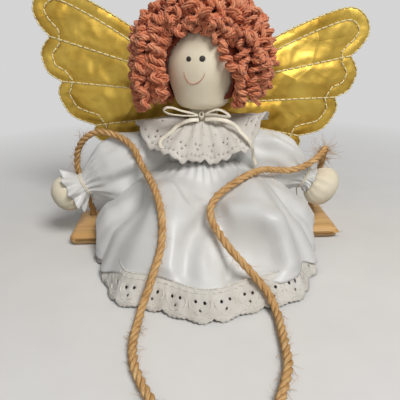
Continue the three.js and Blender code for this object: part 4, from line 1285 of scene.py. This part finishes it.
def crossCurl(pile, draw, azimuth, polar, lift, length):
    # a short curl lying across the head in any direction
    way = draw.uniform(0, math.pi)
    path = []
    for k in (-1, -0.3, 0.4, 1):
        over = 0.5 * length * k / (head["halfHeight"] + lift)
        sideways = math.degrees(over * math.cos(way)) / max(0.35, math.sin(math.radians(polar)))
        lower = math.degrees(over * math.sin(way))
        path.append(overHead(azimuth + sideways, polar + lower, lift - 2 * abs(k)))
    addCurl(pile, draw, path, draw.uniform(1.4, 2.4), draw.uniform(4.2, 6.2))


fringeCurls = [
    [(-21.6, -13.5, 19.4), (-17.5, -15.7, 22.4), (-12.5, -18.1, 24.4), (-6.4, -18.7, 26.8)],
    [(-7.2, -25.8, 24.2), (-3.9, -23.6, 28.1), (1, -23, 29), (5.1, -24.6, 26.5)],
    [(4, -25.6, 21.6), (10.1, -22.4, 24), (18.4, -16.2, 24.5), (26.8, -3.9, 21)],
    [(-7.2, -19, 20), (-2.8, -19.2, 21), (1.5, -19.4, 21), (5.8, -19.6, 19.2)],
    [(2.5, -20.5, 18), (6.1, -21.5, 14.6), (10.6, -21.3, 12.2), (14.7, -20.1, 11.2)],
    [(10.7, -22.1, 12.8), (12.4, -22.6, 8.7), (12.9, -23.1, 4.5), (15.3, -22, -0.4)],
    [(-12, -19, 21), (-17, -16.5, 19.5), (-21, -14.5, 15.5), (-23.5, -13.5, 9)],
    [(-24, -12, 16.3), (-24, -14.5, 11.1), (-24.8, -15, 4.8), (-24.8, -15.5, -0.5)],
    [(-29.6, -9.6, 19.5), (-25.8, -14.1, 22.5), (-20, -19.2, 24.9)],
    [(17.4, -25.5, 18.9), (23.3, -21.8, 16.7), (30.1, -15.1, 12.3)],
    [(-11, -19, 24), (-4, -21.5, 25.5), (4, -21.5, 25.5), (12, -19, 24)],
    [(-8, -18, 29), (1, -20, 30.5), (10, -18.5, 29)],
    [(5, -22.5, 21.5), (11, -21.5, 19.5), (16.5, -18.5, 15.5), (19.5, -16, 9)],
    [(-14, -16, 30), (-5, -17.5, 33.5), (5, -17.5, 33.5), (14, -16, 30.5)],
    [(-15.5, -15.5, 18), (-11.5, -18, 20), (-7.2, -19, 21.6), (-3.4, -19.5, 22)],
    [(3.1, -20, 20.5), (6.4, -20, 19.4), (9.8, -19.2, 18), (14.5, -17.5, 15.6)],
]
jawCurls = dict(
    Left=[[(-24.5, -15.5, 3.7), (-25, -15.5, -3.9), (-26, -11, -10.5), (-27, -4, -16.5)],
          [(-28, -17, -1.6), (-29, -14.6, -9.4), (-31, -7.6, -16.5), (-31.5, 0, -22)]],
    Right=[[(16.2, -22.2, 1.3), (18.6, -20.4, -6.4), (19.6, -17.4, -14.5), (20, -13.5, -23.3)],
           [(20.4, -23.3, 2.4), (21.8, -22.2, -6.3), (22.4, -18.4, -15.6), (22, -10.6, -25.1)]],
)


# a shell over the head under the curls, open at the face and low down; its dark colour is painted shade that
# shows in the gaps between the curls
def makeCurlShadeShell():
    deselectAll()
    bpy.ops.mesh.primitive_uv_sphere_add(segments=72, ring_count=48, radius=1)
    base = bpy.context.object
    base.name = "curlShadeShell"
    base.scale = [(head[k] + hair["baseLift"]) * mm for k in ("halfWidth", "halfDepth", "halfHeight")]
    base.location = Vector(headCenter) * mm
    bpy.ops.object.transform_apply(location=True, rotation=True, scale=True)
    bpy.ops.object.mode_set(mode="EDIT")
    bpy.ops.mesh.select_mode(type="FACE")
    bpy.ops.mesh.select_all(action="DESELECT")
    bpy.ops.object.mode_set(mode="OBJECT")
    for patch in base.data.polygons:
        x, y, z = np.array(patch.center) / mm - headCenter
        across, up = (x - hair["faceX"]) / hair["faceWide"], (z - hair["faceRise"]) / hair["faceTall"]
        onFace = y < 0 and math.hypot(across, up) < 1
        patch.select = bool(onFace or z < hair["baseLow"])
    bpy.ops.object.mode_set(mode="EDIT")
    bpy.ops.mesh.delete(type="FACE")
    bpy.ops.object.mode_set(mode="OBJECT")
    applyModifier(base, "SOLIDIFY", thickness=hair["base"] * mm, offset=-1)
    pick(base)
    bpy.ops.object.shade_smooth()
    finishPiece(base, "curlShadeYarn", "head")


sideHair = dict(
    Left=dict(sign=-1, drop=27, outer=19.5, loose=0, near=53, short=7),
    Right=dict(sign=1, drop=21, outer=19, loose=1, near=38, short=0),
)


def makeSideHair(draw, label, sign, drop, outer, loose, near, short):
    # an outer layer, two inner ones that are shorter over the bow, and curls beside the face
    pile = newPile()

    def hang(azimuth, lift, polars, low):
        hangingCurl(pile, draw, sign * azimuth, lift, polars, low, loose)

    for azimuth in range(50, 128, 8):
        start = draw.uniform(38, 58)
        lift = outer - 5
        if azimuth >= 55:
            lift = outer + draw.uniform(-1.5, 1) - 3 * ease((azimuth - 94) / 24)
        low = drop + draw.uniform(-4, 1) - 9 * ((azimuth - 88) / 38) ** 2
        hang(azimuth, lift, (start, start + 20, 90), low)
    for azimuth in range(54, 124, 10):
        hang(azimuth, outer - 6.5, (44, 66, 90), drop - 1 - short * ease((102 - azimuth) / 14))
    for azimuth in range(58, 122, 12):
        hang(azimuth, outer - 12, (46, 68, 90), drop - 3 - short * ease((102 - azimuth) / 14))
    for azimuth in (near, near + 10):
        hang(azimuth, 9, (40, 58, 80), 6)
    for polar in (56, 66, 78, 90, 102):
        crossCurl(pile, draw, sign * draw.uniform(58, 112), polar, outer, 16)
    for path in jawCurls[label]:
        addCurl(pile, draw, headCenter + np.array(path), draw.uniform(1.5, 2.1), draw.uniform(4.2, 5.6))
    pieceOf(pile, "hair" + label, "yarn", "head", f"hair_{label.lower()}")


def makeCrown(draw):
    pile = newPile()
    for azimuth in range(0, 360, 24):
        end = 34 if azimuth < 40 or azimuth > 320 else 50
        path = [overHead(azimuth + draw.uniform(-14, 14), polar, 17 + draw.uniform(-1.5, 1.5))
                for polar in (4, 0.5 * end, end)]
        addCurl(pile, draw, path, draw.uniform(1.4, 2.4), draw.uniform(4.2, 6.2))
    for azimuth in range(0, 360, 20):
        end = 36 if azimuth < 50 or azimuth > 310 else 64
        path = [overHead(azimuth + draw.uniform(-8, 8), polar, 11 + draw.uniform(-1, 1))
                for polar in (14, 0.6 * end, end)]
        addCurl(pile, draw, path, draw.uniform(1.4, 2.4), draw.uniform(4.2, 6))
    for k in range(15):
        crossCurl(pile, draw, k * 137.5, 8 + 2.6 * k, 19, 20)
    pieceOf(pile, "hairCrown", "yarn", "head", "hair_crown")


def makeFringe(draw):
    pile = newPile()
    for path in fringeCurls:
        addCurl(pile, draw, headCenter + np.array(path), draw.uniform(1.4, 2.1), draw.uniform(4.2, 5.6))
    for azimuth, polar in ((-44, 46), (-26, 38), (-8, 33), (10, 32), (26, 37), (42, 45)):
        crossCurl(pile, draw, azimuth, polar, 9, 16)
        crossCurl(pile, draw, azimuth + 9, polar - 4, 14.5, 18)
    pieceOf(pile, "hairFringe", "yarn", "head", "hair_fringe")


def makeCap(draw):
    # the back of the head, with less over the middle where the wings meet
    pile = newPile()
    for azimuth in range(68, 298, 11):
        hangingCurl(pile, draw, azimuth, 5, (26, 58, 90), draw.uniform(17, 22))
    for azimuth in range(126, 238, 9):
        middle = 160 < azimuth < 200
        drop = 6 if middle else draw.uniform(14, 20)
        hangingCurl(pile, draw, azimuth, 6 if middle else 8.5, (44, 64, 86), drop)
    for azimuth in range(130, 236, 15):
        crossCurl(pile, draw, azimuth, draw.uniform(60, 82), 8, 16)
    pieceOf(pile, "hairCap", "yarn", "head", "hair_cap")


def makeHair():
    draw = random.Random(hair["seed"])
    for label, layers in sideHair.items():
        makeSideHair(draw, label, **layers)
    makeCrown(draw)
    makeFringe(draw)
    makeCap(draw)


makeCurlShadeShell()
makeHair()
print("hair curled")

# Quilted wings

wing = dict(hingeX=3, hingeY=28.225, rootHeight=75, sweep=8, tilt=4.5, innerEdge=0.8, rootTop=25,
            rootBottom=-20, spacing=1.8, border=8, puff=1.2, most=3.2, apart=0.35, cloth=0.35,
            core=0.55, coreInset=0.4)
swelling = dict(pressure=6, slack=0.03, bending=0.22, quality=6, frames=18, even=2)
quilting = dict(step=0.6, stitch=4.2, gap=0.6, thread=0.55, arch=0.25, seamLift=0.7, borderLift=0.75,
                edgeLift=0.4)
# points of the flat wing, out from its root and up: the notches between the lobes, and each lobe's edge
wingNotches = [(104, 46), (97, 16.5), (73, -13)]
wingLobes = [
    [(18, 37), (42, 53), (72, 68.5), (97, 77.5), (110, 73), (115, 63), (111, 53)],
    [(109, 40), (111, 33), (107, 22)],
    [(100, 10), (98, 2), (90, -8)],
    [(75, -19), (70, -24), (58, -25)],
]
# where the seams from the notches end, on the left and the right wing
seamRoots = {-1: [(4, 23), (4, 15), (5, 1)], 1: [(4, 21), (4, 9), (5, -2)]}


def splineThrough(points, count):
    p = np.array(points, float)
    p = np.vstack([p[0], p, p[-1]])
    t = np.linspace(0, 1, count, endpoint=False)[:, None]
    rows = []
    for a, b, c, d in zip(p, p[1:], p[2:], p[3:]):
        leave, enter = (c - a) / 2, (d - b) / 2
        square, cubic = 3 * (c - b) - 2 * leave - enter, 2 * (b - c) + leave + enter
        rows.append(b + leave * t + square * t**2 + cubic * t**3)
    return np.vstack(rows)


def evenLine(points, spacing, closed=False):
    p = np.vstack([points, points[:1]]) if closed else np.asarray(points, float)
    far = runAlong(p)
    even = np.linspace(0, far[-1], max(2, round(far[-1] / spacing) + 1))
    line = np.stack([np.interp(even, far, p[:, k]) for k in range(2)], 1)
    return line[:-1] if closed else line


def wingOutline(side):
    slant = math.radians(wing["tilt"]) * side

    def rootAt(up):
        return (wing["innerEdge"] - up * math.sin(slant)) / math.cos(slant), up

    bottom, last = rootAt(wing["rootBottom"]), rootAt(wing["rootTop"])
    ends = [*wingNotches, (bottom[0] + 6, bottom[1] - 2)]
    rows = [[bottom]]
    for lobe, end in zip(wingLobes, ends):
        rows.append(splineThrough([last, *lobe, end], 10))
        last = end
    return np.vstack([*rows, [last]])


def nearest(points, line, closed=False):
    # distance from each point to a polyline
    a = np.asarray(line, float)
    b = np.roll(a, -1, axis=0) if closed else a[1:]
    a = a if closed else a[:-1]
    best = np.full(len(points), 1e9)
    for p, q in zip(a, b):
        d = q - p
        s = np.clip(((points - p) @ d) / max(d @ d, 1e-9), 0, 1)
        best = np.minimum(best, np.hypot(*(points - p - s[:, None] * d).T))
    return best


def inside(points, outline):
    x, y = points.T
    hit = np.zeros(len(points), dtype=bool)
    for (x1, y1), (x2, y2) in zip(outline, np.roll(outline, -1, axis=0)):
        cross = (y1 > y) != (y2 > y)
        hit ^= cross & (x < (x2 - x1) * (y - y1) / (y2 - y1 + 1e-12) + x1)
    return hit


def wingPlace(side, out, up, front):
    # from the wing's own flat frame to the object's: front is towards the viewer
    tilt, sweep = math.radians(wing["tilt"]) * side, math.radians(wing["sweep"])
    x = out * math.cos(tilt) + up * math.sin(tilt)
    z = -out * math.sin(tilt) + up * math.cos(tilt)
    y = -front
    xs = x * math.cos(sweep) - y * math.sin(sweep)
    ys = x * math.sin(sweep) + y * math.cos(sweep)
    return np.stack([side * (wing["hingeX"] + xs), wing["hingeY"] + ys, wing["rootHeight"] + z], -1)


def fillWing(flat, triangles, puff, held):
    # one layer swells between its stitch lines in a cloth run, laid flat
    pile = newPile()
    addPoints(pile, np.column_stack([flat, puff]))
    addFaces(pile, triangles, flat[triangles])
    layer = buildPile(pile, "wingLayer")
    stitched = layer.vertex_groups.new(name="stitched")
    stitched.add(held.tolist(), 1, "REPLACE")
    modifier = layer.modifiers.new("swelling", "CLOTH")
    cloth = modifier.settings
    cloth.vertex_group_mass = "stitched"
    cloth.quality = swelling["quality"]
    cloth.bending_stiffness = swelling["bending"]
    cloth.use_pressure = True
    cloth.uniform_pressure_force = swelling["pressure"]
    cloth.shrink_min = -swelling["slack"]
    cloth.effector_weights.gravity = 0
    modifier.collision_settings.use_collision = False
    for step in range(1, swelling["frames"] + 1):
        bpy.context.scene.frame_set(step)
    pick(layer)
    bpy.ops.object.modifier_apply(modifier=modifier.name)
    bpy.context.scene.frame_set(1)
    height = readPoints(layer)[:, 2] / mm
    ends = np.array([edge.vertices[:] for edge in layer.data.edges])
    free = np.setdiff1d(np.arange(len(height)), held)
    for _ in range(swelling["even"]):
        total, count = np.zeros(len(height)), np.zeros(len(height))
        for a, b in ((0, 1), (1, 0)):
            np.add.at(total, ends[:, a], height[ends[:, b]])
            np.add.at(count, ends[:, a], 1)
        height[free] = 0.5 * (height + total / np.maximum(count, 1))[free]
    bpy.data.objects.remove(layer)
    print("wing layer swelled", round(float(height.min()), 2), "to", round(float(height.max()), 2), "mm")
    return np.clip(height, 0, wing["most"])


def wingFlat(side):
    # the flat wing: its outline, its seams, and the points and triangles that keep to them
    gap = wing["spacing"]
    outline = evenLine(wingOutline(side), gap, closed=True)
    seams = [evenLine([notch, root], gap) for notch, root in zip(wingNotches, seamRoots[side])]
    low, high = outline.min(axis=0), outline.max(axis=0)
    grid = []
    for j, v in enumerate(np.arange(low[1], high[1], gap * 0.87)):
        grid += [(u, v) for u in np.arange(low[0] + 0.5 * (j % 2) * gap, high[0], gap)]
    grid = np.array(grid)
    clear = nearest(grid, outline, closed=True)
    for seam in seams:
        clear = np.minimum(clear, nearest(grid, seam))
    grid = grid[inside(grid, outline) & (clear > 0.6 * gap)]
    points = [Vector(p) for p in outline]
    edges = [(i, (i + 1) % len(outline)) for i in range(len(outline))]
    for seam in seams:
        first = len(points)
        points += [Vector(p) for p in seam[1:]]
        edges += [(first + i, first + i + 1) for i in range(len(seam) - 2)]
    points += [Vector(p) for p in grid]
    return outline, seams, *triangulate(points, edges, 1e-4)


def wingPuff(side, outline, seams, flat, triangles):
    # how far each layer stands from the middle of the wing
    toEdge = nearest(flat, outline, closed=True)
    toSeam = np.min([nearest(flat, seam) for seam in seams], axis=0)
    borderOn = ease((flat[:, 0] - 8) / 14)
    toBorder = np.abs(toEdge - wing["border"]) * borderOn + (1 - borderOn) * 99
    gap = np.minimum(np.minimum(toEdge, toSeam), toBorder)
    crinkle = [noise.noise(Vector((u * 0.05, v * 0.09, side * 3))) for u, v in flat]
    fine = [noise.noise(Vector((u * 0.2, v * 0.26, 7 + side))) for u, v in flat]
    puff = wing["puff"] * (1 - np.exp(-gap / 3.2)) * (1 + 0.5 * (np.array(crinkle) + 0.5 * np.array(fine)))
    held = np.nonzero(gap < 0.55 * wing["spacing"])[0]
    puff = fillWing(flat, triangles, puff, held)
    return puff + wing["apart"]


def makeWing(name, side):
    body = "left_wing" if side < 0 else "right_wing"
    outline, seams, flat, triangles = wingFlat(side)
    puff = wingPuff(side, outline, seams, flat, triangles)
    faces = {way: triangles if way * side > 0 else triangles[:, ::-1] for way in (1, -1)}
    for label, way in (("Front", 1), ("Back", -1)):
        pile = newPile()
        addPoints(pile, wingPlace(side, *flat.T, way * puff))
        addFaces(pile, faces[way], flat[faces[way]])
        cloth = buildPile(pile, name + label)
        applyModifier(cloth, "SOLIDIFY", thickness=wing["cloth"] * mm, offset=-1)
        applyModifier(cloth, "SUBSURF", levels=1, render_levels=1)
        finishPiece(cloth, "lame", body, f"{body}_{label.lower()}")
    core = newPile()
    filled = wing["core"] * np.maximum(puff - wing["coreInset"], 0)
    for way in (1, -1):
        first = addPoints(core, wingPlace(side, *flat.T, way * filled))
        addFaces(core, faces[way] + first, flat[faces[way]])
    filling = pieceOf(core, name + "Core", "batting", body, f"{body}_core")
    makeStitches(name, side, body, outline, seams)


def insetLine(outline, depth):
    # the outline moved inwards, without the points that come too near to another side
    along = unit(np.roll(outline, -1, axis=0) - np.roll(outline, 1, axis=0))
    area = np.sum(outline[:, 0] * np.roll(outline[:, 1], -1) - np.roll(outline[:, 0], -1) * outline[:, 1])
    inward = np.stack([-along[:, 1], along[:, 0]], 1) * np.sign(area)
    moved = outline + inward * depth
    return moved[nearest(moved, outline, closed=True) > depth * 0.93]


def addStitch(pile, side, part, way, lift):
    arch = lift + quilting["arch"] * np.sin(np.linspace(0, math.pi, len(part)))
    points = wingPlace(side, *part.T, way * arch)
    facing = wingPlace(side, *part.T, way * (arch + 1)) - points
    taper = np.full(len(part), quilting["thread"])
    taper[[0, -1]] *= 0.7
    addStrand(pile, points, facing, taper, 5, np.arange(len(part)) * quilting["step"])


def makeStitches(name, side, body, outline, seams):
    # on both faces, along the seams, the border and the edge
    per = max(3, round(quilting["stitch"] / quilting["step"]))
    skip = round(quilting["gap"] / quilting["step"])
    inner = np.array([p for p in evenLine(insetLine(outline, wing["border"]), 0.8) if p[0] > 12])
    lines = [(seam, quilting["seamLift"]) for seam in seams]
    lines += [(inner, quilting["borderLift"]), (outline, quilting["edgeLift"])]
    pile = newPile()
    for line, lift in lines:
        run = evenLine(line, quilting["step"])
        for way in (1, -1):
            for first in range(0, len(run) - per, per + skip):
                part = run[first:first + per + 1]
                if np.linalg.norm(np.diff(part, axis=0), axis=1).max() <= 2:
                    addStitch(pile, side, part, way, lift)
    pieceOf(pile, name + "Stitches", "stitch", body)


makeWing("leftWing", -1)
makeWing("rightWing", 1)
print("wings quilted")

# Floor, light and backdrop

studio = dict(worldLight=0.13, worldColor=(0.99, 0.995, 1, 1), pale=0.66, width=6, depth=3, front=-2.3,
              below=0.0003, wallGap=0.6, wallHeight=2.5, bend=0.5, fadeFrom=0.12, fadeTo=0.42,
              bounce=tint(150, 149, 147), aim=(0, 0, 0.07))
# name, place in metres, size, power in watts and colour
lamps = [
    ("keyLamp", (0.27, -0.56, 0.77), 0.36, 6.4, (1, 0.985, 0.96)),
    ("fillLamp", (0, -0.9, 0.32), 0.5, 1, (1, 0.995, 0.98)),
    ("backLamp", (-0.25, 0.5, 0.7), 0.5, 0.6, (1, 1, 1)),
]


def seenRay(tree):
    # 1 for what the eye, a gloss or a clear material sees
    path = tree.nodes.new("ShaderNodeLightPath").outputs
    total = path["Is Camera Ray"]
    for name in ("Is Glossy Ray", "Is Transmission Ray"):
        node = tree.nodes.new("ShaderNodeMath")
        node.operation = "MAXIMUM"
        tree.links.new(total, node.inputs[0])
        tree.links.new(path[name], node.inputs[1])
        total = node.outputs["Value"]
    return total


def paleSweep():
    # plain paper that bounces a little less than it shows, with its far part seen as one even pale
    mat = newMaterial("paleSweep", tint(233, 232, 230), 0.9)
    tree = mat.node_tree
    speck = noiseOf(mat, "Object", (40, 40, 40))
    color = ramp(mat, speck, (0.3, tint(231, 230, 228)), (0.7, tint(235, 234, 232)))
    seen = seenRay(tree)
    shade(mat, "Base Color", put(mat, "MixRGB", {0: seen, 1: studio["bounce"], 2: color})["Color"])
    place = put(mat, "TexCoord", {})["Object"]
    away = put(mat, "VectorMath", {0: place}, operation="LENGTH")["Value"]
    fade = {"Value": away, "From Min": studio["fadeFrom"], "From Max": studio["fadeTo"]}
    share = math2(mat, "MULTIPLY", put(mat, "MapRange", fade)["Result"], seen)
    glow = put(mat, "Emission", {"Color": (studio["pale"],) * 3 + (1,), "Strength": 1})["Emission"]
    paper = tree.nodes["Principled BSDF"].outputs["BSDF"]
    both = put(mat, "MixShader", {0: share, 1: paper, 2: glow})["Shader"]
    tree.links.new(both, tree.nodes["Material Output"].inputs["Surface"])
    return mat


def makeFloor():
    deselectAll()
    bpy.ops.mesh.primitive_plane_add(size=1, location=(0, 0, 0))
    floor = bpy.context.object
    floor.name = "paleSweep"
    floor.scale = (studio["width"], studio["depth"], 1)
    floor.location = (0, studio["front"] + studio["depth"] / 2, -studio["below"])
    bpy.ops.object.transform_apply(location=True, rotation=True, scale=True)
    wallAt = studio["front"] + studio["depth"] + studio["wallGap"]
    selectEdges(floor, lambda a, b: min(a.y, b.y) > 0)
    bpy.ops.mesh.extrude_region_move(TRANSFORM_OT_translate={"value": (0, studio["wallGap"], 0)})
    bpy.ops.mesh.extrude_region_move(TRANSFORM_OT_translate={"value": (0, 0, studio["wallHeight"])})
    deselectAll()
    selectEdges(floor, lambda a, b: min(a.y, b.y) * mm > wallAt - 0.1 and max(a.z, b.z) < 1)
    bpy.ops.mesh.bevel(offset=studio["bend"], segments=16, affect="EDGES")
    deselectAll()
    pick(floor)
    bpy.ops.object.shade_smooth()
    floor.data.materials.append(paleSweep())


def makeWorld():
    # a faint light all round, and the backdrop's pale where it is seen
    world = bpy.data.worlds.new("studio")
    bpy.context.scene.world = world
    world.use_nodes = True
    tree = world.node_tree
    light = tree.nodes["Background"]
    light.inputs["Color"].default_value = studio["worldColor"]
    light.inputs["Strength"].default_value = studio["worldLight"]
    seen = tree.nodes.new("ShaderNodeBackground")
    seen.inputs["Color"].default_value = (studio["pale"],) * 3 + (1,)
    mix = tree.nodes.new("ShaderNodeMixShader")
    tree.links.new(seenRay(tree), mix.inputs[0])
    tree.links.new(light.outputs["Background"], mix.inputs[1])
    tree.links.new(seen.outputs["Background"], mix.inputs[2])
    tree.links.new(mix.outputs["Shader"], tree.nodes["World Output"].inputs["Surface"])


def makeLamps():
    for name, place, size, power, color in lamps:
        data = bpy.data.lights.new(name, "AREA")
        data.size = size
        data.energy = power
        data.color = color
        lamp = bpy.data.objects.new(name, data)
        bpy.context.collection.objects.link(lamp)
        lamp.location = place
        lamp.rotation_euler = (Vector(studio["aim"]) - Vector(place)).to_track_quat("-Z", "Y").to_euler()


makeFloor()
makeWorld()
makeLamps()
bpy.context.scene.view_settings.view_transform = "Standard"
print("studio lit")
